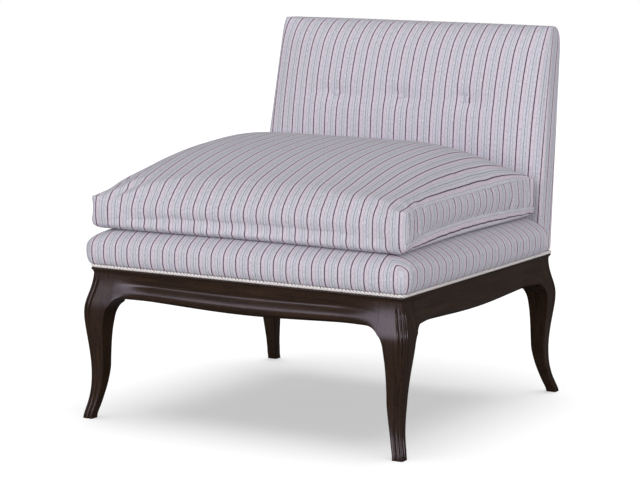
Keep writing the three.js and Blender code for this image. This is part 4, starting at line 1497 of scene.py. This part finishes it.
@dataclass
class Back:
    """The raked back: crowned front, rolled top, three buttons and a plain outside panel."""

    finishes: FinishBook
    base: Base
    height: float = 0.481
    rake: float = 0.075
    thickness: float = 0.064
    half_at_seat: float = 0.3445
    half_at_top: float = 0.3225
    crown: float = 0.036
    crown_power: int = 5
    edge_radii: tuple = (0.010, 0.018)
    foot_radius_share: float = 0.3
    foot_radius_end: tuple = (0.14, 0.36)
    depth_easing: float = 0.35
    valley: float = 0.0045
    valley_width: float = 0.017
    valley_reach: float = 0.07
    top_round: float = 0.017
    top_crown: float = 0.0012
    rear_radius: float = 0.006
    foot_tuck: float = 0.0055
    panel_margin: float = 0.009
    panel_top_margin: float = 0.044
    panel_thickness: float = 0.002
    panel_rise: float = 0.0006
    panel_edge_power: int = 60
    panel_edge_thinning: float = 0.3
    panel_slack: tuple = (0.0005, 0.001)
    panel_gap: float = 0.0004
    button_height: float = 0.321
    button_places: tuple = (-0.158, 0.0, 0.158)
    button_radius: float = 0.0072
    button_dome: float = 0.0028
    button_sink: float = 0.0034
    button_sides: int = 36
    twine_radius: float = 0.0012
    front_roll: float = 1.6
    edge_rolls: tuple = (0.25, 1.0)
    side_rolls: tuple = (0.25, 0.85)
    side_roll_in_front: float = 0.5
    rear_roll: float = 0.5
    roll_fade: int = 8
    dimple: float = 0.007
    dimple_spread: float = 0.017
    dimple_power: float = 1.25
    pleat: float = 0.0014
    pleat_reach: float = 0.03
    pleats_round: int = 4
    pleat_start: tuple = (0.006, 0.014)
    pleat_turns: tuple = (0.9, 0.6)
    stripe_stretch: float = 28.4 / 27.4
    plum_place: float = -0.0016
    lean: ShareTable = ShareTable((
        (0, -0.0065), (0.5, -0.0065), (0.635, -0.006), (0.72, -0.005), (0.805, -0.0035), (0.89, -0.001),
        (1, 0.006),
    ))
    table: ShareTable = ShareTable((
        (0, 0, 0, 1), (0.013, 0, 0, 1), (0.019, 0, 0, 0), (0.17, 0, 0, 0), (0.24, 0.2, 0, 0),
        (0.3, 0.38, 0, 0), (0.37, 0.54, 0, 0), (0.48, 0.8, 0, 0), (0.58, 0.96, 0, 0), (0.667, 1, 0, 0),
        (0.76, 0.98, 0, 0), (0.85, 0.87, 0, 0), (0.89, 0.77, 0, 0), (0.93, 0.6, 0.05, 0),
        (0.96, 0.4, 0.16, 0), (0.98, 0.25, 0.34, 0), (0.99, 0.17, 0.52, 0), (0.998, 0.1, 0.8, 0),
        (1, 0.06, 1.2, 0),
    ))

    def rear_face(self, share: Values) -> Values:
        """The depth of the rear face at a share of the height."""
        return self.base.depth + self.rake * share

    def half_width(self, share: Values) -> Values:
        """Half the width at a share of the height."""
        return blend_values(self.half_at_seat, self.half_at_top, share)

    def tuck(self, share: Values) -> Values:
        """How far the cloth is drawn in at the foot."""
        return np.clip(self.table.read(share, 3), 0, 1) * self.foot_tuck

    def level(self, share: Values) -> Values:
        """The level at a share of the height, never below the foot of the cloth."""
        return np.maximum(self.base.cloth_foot, self.base.wood_top + share * self.height)

    def cloth_across(self, x: Values, lean: Values = 0) -> Values:
        """The place across the stripes of a distance across the back."""
        return (x - lean) / self.stripe_stretch - self.plum_place

    def dimples(self, x: np.ndarray, z: np.ndarray) -> np.ndarray:
        """How deep the front sinks round the buttons, with the short pulls that run out from them.

        Args:
            x: Places across.
            z: Heights above the base.

        Returns:
            The depths.
        """
        depth = np.zeros_like(x)
        for number, place in enumerate(self.button_places):
            across, up = x - place, z - self.button_height
            distance = np.hypot(across, up)
            start = self.pleat_turns[0] * number + self.pleat_turns[1]
            turn = self.pleats_round * np.arctan2(up, across) + start
            depth += self.dimple * np.exp(-((distance / self.dimple_spread) ** self.dimple_power))
            rays = self.pleat * np.cos(turn) * bell(distance, self.pleat_reach)
            depth += rays * smoothstep(*self.pleat_start, distance)
        nearest = np.min([np.abs(x - place) for place in self.button_places], axis=0)
        row = bell(z - self.button_height, self.valley_width)
        return depth + self.valley * row * bell(nearest, self.valley_reach)

    def shape_body(self, body: Lattice) -> np.ndarray:
        """Finds where the vertices of the body lie.

        Args:
            body: The body, as a box of shares.

        Returns:
            The points.
        """
        side, share, deep = body.across, body.along, body.up
        crown, rounding = (self.table.read(share, column) for column in (1, 2))
        rolled, outward = np.maximum(rounding, 0) * self.top_round, np.abs(side)
        rolls = (self.edge_rolls, self.side_rolls)
        edge_roll, side_roll = (np.where(side > 0, right, left) for left, right in rolls)
        drawn = side_roll * rolled * blend_values(self.side_roll_in_front, 1, deep)
        half = self.half_width(share) - drawn - self.tuck(share)
        front_roll = self.front_roll * blend_values(1, edge_roll, outward**self.roll_fade)
        seam = self.rear_face(share) - self.thickness + front_roll * rolled
        front = seam - crown * self.crown * (1 - outward**self.crown_power)
        front += self.dimples(side * half, share * self.height)
        rear = self.rear_face(share) - self.rear_roll * rolled - self.tuck(share)
        edge = np.minimum(1, (1 - deep) * self.thickness / self.rear_radius)
        turned = self.rear_radius * (1 - np.sqrt(np.clip(1 - (1 - edge) ** 2, 0, 1)))
        x = side * (half - turned * outward**12)
        y = blend_values(front, rear, blend_values(deep, smoothstep(0, 1, deep), self.depth_easing))
        radius = np.where(side > 0, self.edge_radii[1], self.edge_radii[0])
        radius = radius * blend_values(self.foot_radius_share, 1, smoothstep(*self.foot_radius_end, share))
        in_front, beside = deep == 0, (outward == 1) & (deep > 0)
        front_back, front_slide = round_edge(half * (1 - outward), radius)
        side_back, side_slide = round_edge(deep * self.thickness, radius)
        x -= np.sign(side) * (np.where(in_front, front_slide, 0) + np.where(beside, side_back, 0))
        y += np.where(in_front, front_back, 0) + np.where(beside, side_slide, 0)
        on_top = (share == 1) & ~in_front
        level = self.level(share) + np.where(on_top, self.top_crown * np.sin(np.pi * deep) * (1 - side**4), 0)
        inside = (deep == 1) & (outward * half < half - self.panel_margin + self.panel_slack[0])
        inside &= share * self.height < self.height - self.panel_top_margin + self.panel_slack[1]
        y -= np.where(inside, self.panel_thickness + self.panel_gap, 0)
        return np.column_stack([x, FRONT + y, level])

    def map_body(self, body: Lattice) -> None:
        """Maps the cloth of the body: front, top and rear in one, and a gusset on either side.

        Args:
            body: The body, as a box of shares.
        """
        vertices, _ = body.corners
        side, share, deep = body.across, body.along, body.up
        lean, half = self.lean.read(share, 1), self.half_width(share)
        across = self.cloth_across(half * side, lean)[vertices]
        for on_side, sign in body.sides():
            gusset = self.cloth_across(sign * (half + deep * self.thickness), lean)
            across[on_side] = gusset[vertices][on_side]
        run = share * self.height + deep * self.thickness * (share > 0.97)
        write_cloth_map(body.piece, np.stack([across, run[vertices]], 1))

    def build_body(self) -> None:
        """Builds the padded body of the back."""
        across = mirrored(spaced([0, 0.85, 0.95, 1], [30, 7, 7]))
        rows = spaced([0, 0.019, 0.17, 0.6, 0.74, 0.93, 0.975, 1], [4, 10, 26, 14, 14, 8, 12])
        body = Lattice.extrude("tufted_back", across, rows, spaced([0, 0.28, 0.88, 1], [6, 6, 4]))
        write_points(body.piece, self.shape_body(body))
        self.map_body(body)
        face_outwards(body.piece)
        apply_modifier(body.piece, "SUBSURF", levels=1, render_levels=1)
        shade_smooth(body.piece)
        self.finishes.dress(body.piece, StripedCloth())
        hand_over(body.piece, ["back_cover", "back_pad"])

    def build_panel(self) -> None:
        """Builds the outside panel that closes the rear."""
        top = 1 - self.panel_top_margin / self.height
        rows = spaced([0, 0.019, top - 0.02, top], [3, 40, 5])
        columns = spaced([-1, -0.98, 0.98, 1], [4, 44, 4])
        panel = Lattice.extrude("outside_back", columns, rows, np.array([0, 0.5, 1]))
        side, share = panel.across, panel.along
        half = self.half_width(share) - self.panel_margin - self.tuck(share)
        edge = np.maximum(np.abs(side) ** self.panel_edge_power, (share / top) ** self.panel_edge_power)
        rear = self.rear_face(share) - self.tuck(share) + self.panel_rise * (1 - 2 * edge)
        y = rear - (1 - panel.up) * self.panel_thickness * (1 - self.panel_edge_thinning * edge)
        write_points(panel.piece, np.column_stack([side * half, FRONT + y, self.level(share)]))
        vertices, _ = panel.corners
        cloth = np.stack([self.cloth_across(side * half), share * self.height], 1)
        write_cloth_map(panel.piece, cloth[vertices])
        face_outwards(panel.piece)
        shade_smooth(panel.piece, 50)
        self.finishes.dress(panel.piece, StripedCloth())
        hand_over(panel.piece, ["outside_back_panel"])

    def build_button(self, name: str, x: float) -> None:
        """Builds one covered button with the twine behind it.

        Args:
            name: The button's place in words.
            x: Its place across the back.
        """
        low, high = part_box(f"button_{name}")
        face, radius = low.y + self.button_sink, self.button_radius
        seat = face + self.button_dome
        profile = [(self.twine_radius, high.y), (self.twine_radius, seat + 0.003)]
        profile += [(radius - 0.0022, seat + 0.0024), (radius - 0.0006, seat + 0.0012), (radius, seat)]
        for angle in np.linspace(0, math.pi / 2, 12)[1:-1]:
            profile.append((radius * math.cos(angle), seat - self.button_dome * math.sin(angle)))
        profile.append((0.0004, face))
        angles = np.linspace(0, TWO_PI, self.button_sides, endpoint=False)
        level = self.base.wood_top + self.button_height
        reach, depth = (np.array(profile)[:, column, None] for column in (0, 1))
        circle = (x + reach * np.cos(angles), depth, level + reach * np.sin(angles))
        rings = np.stack(np.broadcast_arrays(*circle), -1)
        wrapped = np.concatenate([rings, rings[:, :1]], 1)
        lean = float(self.lean.read(self.button_height / self.height, 1))
        across = self.cloth_across(wrapped[..., 0], lean)
        button = loft(f"covered_button_{name}", rings, cloth=np.stack([across, wrapped[..., 2]], -1))
        shade_smooth(button, 60)
        self.finishes.dress(button, StripedCloth())
        hand_over(button, [f"button_{name}"])

    def build(self) -> None:
        """Builds the whole back."""
        self.build_body()
        self.build_panel()
        for name, x in zip(("left", "centre", "right"), self.button_places):
            self.build_button(name, x)


# The loose cushion


@dataclass
class Cushion:
    """The loose boxed cushion: a high domed top, puckered boxings and a softer underside."""

    finishes: FinishBook
    deck: SeatDeck
    half_front: float = 0.348
    half_rear: float = 0.332
    front: float = 0.001
    rear: float = 0.664
    deck_top: float = 0.388
    seam_low: float = 0.4215
    seam_high: float = 0.4690
    seam_width: float = 0.0016
    seam_depth: float = 0.0003
    side_seam_depth: float = 0.0012
    joint_width: float = 0.0018
    joint_depth: float = 0.0014
    cloth_half: float = 0.343
    belly_reach: float = 0.085
    belly_drop: float = 0.022
    belly_turn: float = 0.040
    side_stretch: float = 31.9 / 27.42
    clearance: float = 0.0006
    draw_in: float = 0.007
    ear_radius: float = 0.005
    boxing_radius: float = 0.013
    corner_fade: int = 30
    front_bulge: float = 0.0100
    belly_out: float = 0.0075
    side_bulge: float = 0.0065
    shoulder: float = 0.0065
    shoulder_width: float = 0.024
    dome_front: float = 0.0775
    dome_lean: float = 0.027
    dome_steepness: tuple = (8.5, 4.6)
    dome_run: float = 2.64
    front_wrap: float = 0.016
    rear_wrap: float = 0.021
    seam_step: float = 0.0022
    pucker: float = 0.0008
    side_pucker: float = 0.0026
    pucker_width: float = 0.012
    fringe: float = 0.0014
    fringe_width: float = 0.016
    droop_power: float = 2.6
    plum_place: float = -0.0005
    zip_half: float = 0.251
    zip_level: float = 0.4413
    slot_half: float = 0.0052
    slot_depth: float = 0.0004
    ear_hold: float = 0.85
    ear_reach: tuple = (0.012, 0.06)
    rest_reach: tuple = (0.003, 0.014)
    rear_reach: tuple = (-0.022, -0.008)
    map_slack: float = 0.0002
    slant: float = 0.12
    corner_lows: tuple = (0.401, 0.408, 0.413, 0.410)
    corner_highs: tuple = (0.447, 0.467, 0.475, 0.462)

    @property
    def length(self) -> float:
        """The cushion's depth in plan."""
        return self.rear - self.front

    @property
    def middle(self) -> float:
        """The depth of its middle from the front of the base."""
        return (self.front + self.rear) / 2

    def seam_level(self, u: np.ndarray, v: np.ndarray, middle: float, corners: tuple) -> np.ndarray:
        """The height of a seam round the edge.

        Args:
            u: Shares across, from -1 to 1.
            v: Shares from front to rear, from -1 to 1.
            middle: The height at the middle of each side.
            corners: The heights at the four corners, round from the front left.

        Returns:
            The heights.
        """
        reach = np.maximum(np.maximum(np.abs(u), np.abs(v)), SEAM)
        droop = np.zeros_like(u)
        for height, (x, y) in zip(corners, ((-1, -1), (1, -1), (1, 1), (-1, 1))):
            near = np.clip((1 + x * u / reach) / 2, 0, 1) * np.clip((1 + y * v / reach) / 2, 0, 1)
            droop += (height - middle) * near**self.droop_power
        return middle + droop

    def plan(
        self, u: np.ndarray, v: np.ndarray, radius: np.ndarray, side_bulge: np.ndarray, end_bulge: np.ndarray
    ) -> tuple[np.ndarray, np.ndarray]:
        """Places shares in the cushion's outline.

        Args:
            u: Shares across.
            v: Shares from front to rear.
            radius: The corner radius at each point.
            side_bulge: How far each point stands out on the left and right.
            end_bulge: How far each point stands out in front and behind.

        Returns:
            The places across and in depth.
        """
        half, half_long = blend_values(self.half_front, self.half_rear, (1 + v) / 2), self.length / 2
        in_side = (self.draw_in * np.cos(math.pi / 2 * v) ** 2 - side_bulge * (1 - v**6)) * np.abs(u) ** 6
        in_end = (self.draw_in * np.cos(math.pi / 2 * u) ** 2 - end_bulge * (1 - u**6)) * np.abs(v) ** 6
        away_x, away_y = half * (1 - np.abs(u)), half_long * (1 - np.abs(v))
        fade = np.maximum(np.abs(u), np.abs(v)) ** self.corner_fade
        side_back, side_slide = round_edge(away_y, radius)
        end_back, end_slide = round_edge(away_x, radius)
        on_side = away_x <= away_y + 1e-9
        in_side = in_side + fade * np.where(on_side, side_back, end_slide)
        in_end = in_end + fade * np.where(on_side, side_slide, end_back)
        return u * half - np.sign(u) * in_side, v * half_long - np.sign(v) * in_end + self.middle

    def dome(self, u: np.ndarray, v: np.ndarray) -> np.ndarray:
        """How far the top swells above its seam.

        Args:
            u: Shares across.
            v: Shares from front to rear.

        Returns:
            The heights.
        """
        steep = blend_values(*self.dome_steepness, smoothstep(-0.6, 0.6, u))
        swell = (1 - np.abs(u) ** steep) * (1 - np.abs(v) ** self.dome_run)
        away = (1 + v) * self.length / 2 / self.shoulder_width
        shoulder = self.shoulder * away * np.exp(1 - away) * (1 - np.abs(u) ** 8)
        return (self.dome_front + self.dome_lean * v) * swell + shoulder

    def belly(self, reach: np.ndarray, x: np.ndarray, y: np.ndarray, seam: np.ndarray) -> np.ndarray:
        """The height of the underside, which hangs from its seam and rests on the deck.

        Args:
            reach: Shares from the middle out to the edge.
            x: Places across.
            y: Depths from the front of the base.
            seam: The height of the lower seam.

        Returns:
            The heights.
        """
        hang = 1 - np.clip((1 - reach) / self.belly_reach, 0, 1)
        rise = 1 - np.sqrt(np.clip(1 - hang**2, 0, 1))
        held = np.minimum(1, (1 - self.belly_reach) / np.maximum(reach, SEAM))
        rest = self.deck.surface_level(x * held, y * held + (1 - held) * self.middle)
        rest = np.minimum(rest, self.deck_top) + self.clearance
        return rest + (seam - rest) * rise

    def belly_run(self, u: np.ndarray) -> np.ndarray:
        """The cloth's length from the side seam along the belly to a share across.

        Args:
            u: Shares across.

        Returns:
            The lengths.
        """
        bend = np.linspace(math.pi / 2, 0, 40)
        wide, tall = self.belly_reach * self.half_front, self.belly_drop
        lengths = run_of(np.stack([wide * np.sin(bend), tall * np.cos(bend)], 1))
        away = (1 - np.abs(u)) * self.half_front
        return np.interp(away, wide * (1 - np.sin(bend)), lengths) + np.maximum(0, away - wide)

    def lay_out(self) -> Lattice:
        """Makes the cushion as a box of shares, with narrow steps beside every seam.

        Returns:
            The box.
        """
        fine, end = self.seam_step / self.half_front, self.length / 2
        front, rear = -1 + self.front_wrap / end, 1 - self.rear_wrap / end
        across = mirrored(spaced([0, self.zip_half / self.half_rear, 0.955, 1 - 3 * fine, 1], [17, 8, 4, 3]))
        stops = [-1, -1 + 3 * fine, front - fine, front + fine, 0.9]
        stops += [rear - fine, rear + fine, 1 - 3 * fine, 1]
        ups = spaced([0, 0.07, 0.4, 0.6, 0.93, 1], [2, 5, 2, 5, 2])
        return Lattice.extrude("seat_cushion", across, spaced(stops, [3, 4, 2, 96, 4, 2, 4, 3]), ups)

    def shape(self, box: Lattice) -> np.ndarray:
        """Finds where the vertices lie before the cloth swells.

        Args:
            box: The cushion, as a box of shares.

        Returns:
            The points.
        """
        u, v, up = box.across, box.along, box.up
        arch = np.sin(math.pi * up) ** 0.8 * box.rim
        radius = blend_values(self.ear_radius, self.boxing_radius, np.clip(arch, 0, 1))
        lowered = self.belly_out * (v < 0) * np.where(box.rim, 1 - up, up == 0)
        x, y = self.plan(u, v, radius, self.side_bulge * arch, self.front_bulge * arch + lowered)
        low = self.seam_level(u, v, self.seam_low, self.corner_lows)
        high = self.seam_level(u, v, self.seam_high, self.corner_highs)
        reach = np.maximum(np.abs(u), np.abs(v))
        settled = self.seam_high + (high - self.seam_high) * reach**6
        z = np.where((up == 1) & ~box.rim, settled + self.dome(u, v), blend_values(low, high, up))
        z = np.where((up == 0) & ~box.rim, self.belly(reach, x, y, low), z)
        return np.column_stack([x, FRONT + y, z])

    def held(self, points: np.ndarray) -> np.ndarray:
        """Tells how firmly the cloth is held: on the deck, behind round the zip, and at its front ears.

        Args:
            points: The points.

        Returns:
            A share for each point.
        """
        resting = 1 - smoothstep(*self.rest_reach, points[:, 2] - self.deck_top)
        depth = points[:, 1] - FRONT
        behind = smoothstep(*self.rear_reach, depth - self.rear)
        away = np.hypot(self.half_front - np.abs(points[:, 0]), depth - self.front)
        ears = self.ear_hold * (1 - smoothstep(*self.ear_reach, away))
        return np.maximum.reduce([resting, behind, ears])

    def work_seams(self, box: Lattice, points: np.ndarray) -> None:
        """Draws the cloth in along its seams and puckers the boxings.

        Args:
            box: The cushion, as a box of shares.
            points: Where its vertices lay before the cloth swelled.
        """
        u, v, depth = box.across, box.along, points[:, 1] - FRONT
        on_side, sideways = np.abs(u) == 1, np.abs(u) > np.abs(v)
        ends = [share * (self.seam_high - self.seam_low) for share in (box.up, 1 - box.up)]
        widths = (self.seam_width, self.pucker_width)
        seam, near = (bell(ends[0], width) + bell(ends[1], width) for width in widths)
        around = np.where(on_side, depth, u * self.half_front + 2 * np.sign(v))
        strength = near * np.where(on_side, self.side_pucker, self.pucker)
        waves = ripple(around + self.slant * points[:, 2], 1.3) * strength
        run = depth - self.front
        joints = bell(run - self.front_wrap, self.joint_width)
        joints = joints + bell(self.length - run - self.rear_wrap, self.joint_width)
        sunk = seam * np.where(on_side, self.side_seam_depth, self.seam_depth)
        sunk = sunk + on_side * joints * self.joint_depth
        away = (1 - np.maximum(np.abs(u), np.abs(v))) * self.half_front
        fringe = ripple(np.where(sideways, depth, u * self.half_front) + 0.4, 2.1)
        fringe = fringe * bell(away, self.fringe_width)
        move = np.where(box.rim, waves - sunk, fringe * np.where(sideways, self.fringe, self.pucker))
        write_points(box.piece, read_points(box.piece) + read_normals(box.piece) * move[:, None])

    def open_zip(self, cushion: Piece) -> None:
        """Sinks the rear boxing round the zip, so that the zip shows in a neat slot.

        Args:
            cushion: The cushion.
        """
        points = read_points(cushion)
        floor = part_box("cushion_zip")[0].y - self.slot_depth
        inside = (points[:, 1] > floor) & (np.abs(points[:, 0]) < self.zip_half)
        inside &= np.abs(points[:, 2] - self.zip_level) < self.slot_half
        points[inside, 1] = floor
        write_points(cushion, points)

    def map_cloth(self, box: Lattice, points: np.ndarray) -> None:
        """Maps the cloth panel by panel, with the front boxing running on round its corners.

        Args:
            box: The cushion, as a box of shares.
            points: Where its vertices lie.
        """
        vertices, _ = box.corners
        beneath = box.whole(box.up == 0)
        panel = beneath | box.whole(box.up == 1)
        run, wide = (1 + box.along) / 2 * self.length, box.across * self.cloth_half
        under = self.cloth_half * (1 - self.belly_run(box.across) / self.belly_run(np.zeros(1)))
        under = blend_values(wide, np.sign(box.across) * under, smoothstep(0, self.belly_turn, run))
        across = np.where(beneath, under[vertices], wide[vertices])
        in_front = box.whole(run < self.front_wrap + self.map_slack)
        behind = box.whole(run > self.length - self.rear_wrap - self.map_slack)
        run = run[vertices]
        for on_side, sign in box.sides():
            cloth = np.where(in_front, sign * (self.cloth_half + run), run / self.side_stretch)
            cloth = np.where(behind, sign * (self.cloth_half + self.length - run), cloth)
            across = np.where(on_side & ~panel, cloth, across)
        along = np.where(panel, points[vertices, 1] - FRONT, points[vertices, 2])
        write_cloth_map(box.piece, np.stack([across - self.plum_place, along], 1))

    def build(self) -> None:
        """Builds the cushion as one padded piece."""
        box = self.lay_out()
        points = self.shape(box)
        write_points(box.piece, points)
        self.map_cloth(box, points)
        face_outwards(box.piece)
        ClothSwell().run(box.piece, self.held)
        self.work_seams(box, points)
        apply_modifier(box.piece, "SUBSURF", levels=1, render_levels=1)
        self.open_zip(box.piece)
        shade_smooth(box.piece)
        self.finishes.dress(box.piece, StripedCloth())
        hand_over(box.piece, ["cushion_case", "cushion_core"], "cushion")


# The hidden frame and small parts


@dataclass
class HiddenFrame:
    """Rails, posts, blocks, springs, webbing and zip, which keep their solids, and the dust cover."""

    finishes: FinishBook
    sag: float = 0.0025
    cloth: float = 0.0006
    clearance: float = 0.0003
    cambric: PlainCloth = PlainCloth("black_cambric", tone(44, 43, 46), tone(26, 25, 28), 0.0014)

    def dress_solids(self) -> None:
        """Gives every solid that stays its own finish."""
        across, along, up = (RawWood(f"beech_{grain.name.lower()}", grain) for grain in Grain)
        plans = {"seat_rail_left": along, "seat_rail_right": along, "back_post": up}
        plans |= dict.fromkeys(("seat_rail_front", "seat_rail_rear", "back_rail", "corner_block"), across)
        steel = ("corner_bolt", "seat_spring", "spring_clip", "cushion_zip_slider")
        plans |= dict.fromkeys(steel, DrawnSteel())
        plans |= {"webbing": JuteWeb(), "cushion_zip": ZipCoil()}
        for name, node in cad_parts.items():
            found = [start for start in plans if name.startswith(start)]
            if found and not node.hide_render:
                self.finishes.dress(node, plans[max(found, key=len)])
                LOG.info("%s keeps its solid", name)

    def build_dust_cover(self) -> None:
        """Stretches the thin black cloth under the springs."""
        low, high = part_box("dust_cover")
        middle, (width, length, _) = (low + high) / 2, high - low
        cover, _, _ = add_grid("cambric_dust_cover", 48, 52)
        u, v = read_points(cover)[:, :2].T
        level = high.z - self.clearance - self.sag * (1 - u**2) * (1 - v**2)
        write_points(cover, np.column_stack([middle.x + u * width / 2, middle.y + v * length / 2, level]))
        apply_modifier(cover, "SOLIDIFY", thickness=self.cloth, offset=-1)
        face_outwards(cover)
        shade_smooth(cover, 60)
        self.finishes.dress(cover, self.cambric)
        hand_over(cover, ["dust_cover"])

    def build(self) -> None:
        """Builds the dust cover and dresses the rest."""
        self.build_dust_cover()
        self.dress_solids()


# Camera, floor and light


@dataclass(frozen=True)
class Sun:
    """A soft sun: its bearing from the front towards the right, its height and its breadth are in degrees."""

    name: str
    azimuth: float
    elevation: float
    strength: float
    softness: float
    in_gloss: bool = False

    def add(self, receivers: bpy.types.Collection) -> None:
        """Adds the lamp, which lights what its receivers name.

        Args:
            receivers: What it lights.
        """
        data = bpy.data.lights.new(self.name, "SUN")
        data.energy = self.strength
        data.angle = math.radians(self.softness)
        lamp = bpy.data.objects.new(self.name, data)
        bpy.context.scene.collection.objects.link(lamp)
        lamp.rotation_euler = (math.radians(90 - self.elevation), 0, math.radians(self.azimuth))
        lamp.location = (0, -3, 3)
        lamp.visible_glossy = self.in_gloss
        lamp.light_linking.receiver_collection = receivers


@dataclass
class Studio:
    """A pale floor, soft lamps and the camera of the picture."""

    azimuth: float = 27.641
    pitch: float = 7.736
    roll: float = 1.114
    focal: float = 2221.25
    camera_place: tuple = (2.0893, -3.6674, 0.9639)
    frame_width: int = 640
    sensor: float = 36.0
    ambient: float = 0.19
    gloss: float = 0.08
    floor_size: float = 40.0
    floor_colours: tuple = (0.55, 0.32, 0.07)
    floor_glow: float = 0.52
    overhead: Sun = Sun("overhead", 0, 90, 2.85, 66)
    suns: tuple = (
        Sun("key", -12, 10, 1.36, 80),
        Sun("fill", 74, 12, 1.36, 80),
        Sun("window", -16, 18, 0.95, 30, in_gloss=True),
        Sun("strip", 54, 22, 0.5, 10, in_gloss=True),
        Sun("behind", 172, 8, 0.9, 70),
    )

    def add_camera(self) -> None:
        """Adds the camera."""
        data = bpy.data.cameras.new("camera")
        data.sensor_fit = "HORIZONTAL"
        data.sensor_width = self.sensor
        data.lens = self.focal / self.frame_width * self.sensor
        data.clip_end = 50
        camera = bpy.data.objects.new("camera", data)
        bpy.context.scene.collection.objects.link(camera)
        x, y, z = self.camera_place
        turn = Matrix.Rotation(math.radians(self.azimuth), 4, "Z")
        tilt = Matrix.Rotation(math.radians(90 - self.pitch), 4, "X")
        bank = Matrix.Rotation(math.radians(self.roll), 4, "Z")
        camera.matrix_world = Matrix.Translation((x, y + FRONT, z)) @ turn @ tilt @ bank
        bpy.context.scene.camera = camera

    def add_world(self) -> None:
        """Lights the room evenly, and shows it white to the camera and dim in gloss."""
        world = bpy.data.worlds.new("studio")
        bpy.context.scene.world = world
        world.use_nodes = True
        nodes, links = world.node_tree.nodes, world.node_tree.links
        shown = nodes["Background"]
        shown.inputs["Color"].default_value = WHITE
        shown.inputs["Strength"].default_value = self.ambient
        path = nodes.new("ShaderNodeLightPath")
        seen = nodes.new("ShaderNodeMath")
        seen.operation = "MAXIMUM"
        links.new(path.outputs["Is Camera Ray"], seen.inputs[0])
        links.new(path.outputs["Is Transmission Ray"], seen.inputs[1])
        for share, strength in ((seen.outputs[0], 1.0), (path.outputs["Is Glossy Ray"], self.gloss)):
            chosen, mixed = nodes.new("ShaderNodeBackground"), nodes.new("ShaderNodeMixShader")
            chosen.inputs["Color"].default_value = WHITE
            chosen.inputs["Strength"].default_value = strength
            for source, target in zip((share, shown.outputs[0], chosen.outputs[0]), mixed.inputs):
                links.new(source, target)
            shown = mixed
        links.new(shown.outputs[0], nodes["World Output"].inputs["Surface"])

    def add_floor(self) -> Piece:
        """Lays the pale floor, which shows white where it is lit and keeps the shadow.

        Returns:
            The floor.
        """
        deselect_all()
        bpy.ops.mesh.primitive_plane_add(size=self.floor_size, location=(0, 0, 0))
        floor = bpy.context.active_object
        floor.name = "floor"
        surface = Surface("pale_floor", 1.0, Specular_IOR_Level=0.0)
        path = surface.node("LightPath")
        seen, bounced, mirrored_in = (tuple([value] * 3 + [1]) for value in self.floor_colours)
        diffuse = surface.node("BsdfDiffuse")
        indirect = surface.mix(path.outputs["Is Glossy Ray"], bounced, mirrored_in)
        surface.feed(diffuse.inputs["Color"], surface.mix(path.outputs["Is Camera Ray"], indirect, seen))
        glow = surface.node("Emission")
        shown = surface.math("MULTIPLY", path.outputs["Is Camera Ray"], self.floor_glow)
        surface.feed(glow.inputs["Strength"], shown)
        both = surface.node("AddShader")
        surface.feed(both.inputs[0], diffuse.outputs[0])
        surface.feed(both.inputs[1], glow.outputs[0])
        surface.feed(surface.tree.nodes["Material Output"].inputs["Surface"], both.outputs[0])
        floor.data.materials.append(surface.material)
        return floor

    def build(self) -> None:
        """Sets up camera, room, lamps and floor, which has an overhead lamp of its own."""
        self.add_camera()
        self.add_world()
        floor = self.add_floor()
        under_overhead = bpy.data.collections.new("lit_from_above")
        under_overhead.objects.link(floor)
        away_from_front = bpy.data.collections.new("not_lit_from_the_front")
        away_from_front.objects.link(floor)
        away_from_front.collection_objects[0].light_linking.link_state = "EXCLUDE"
        for sun in self.suns:
            sun.add(away_from_front)
        self.overhead.add(under_overhead)
        bpy.context.scene.view_settings.view_transform = "Standard"


def main() -> None:
    """Builds the studio and the chair, piece by piece."""
    logging.basicConfig(level=logging.INFO, format="%(message)s")
    Studio().build()
    finishes = FinishBook()
    base = Base(finishes)
    base.build()
    deck = SeatDeck(finishes, base)
    deck.build()
    Welt(finishes, base).build()
    Back(finishes, base).build()
    Cushion(finishes, deck).build()
    HiddenFrame(finishes).build()


if __name__ == "__main__":
    main()
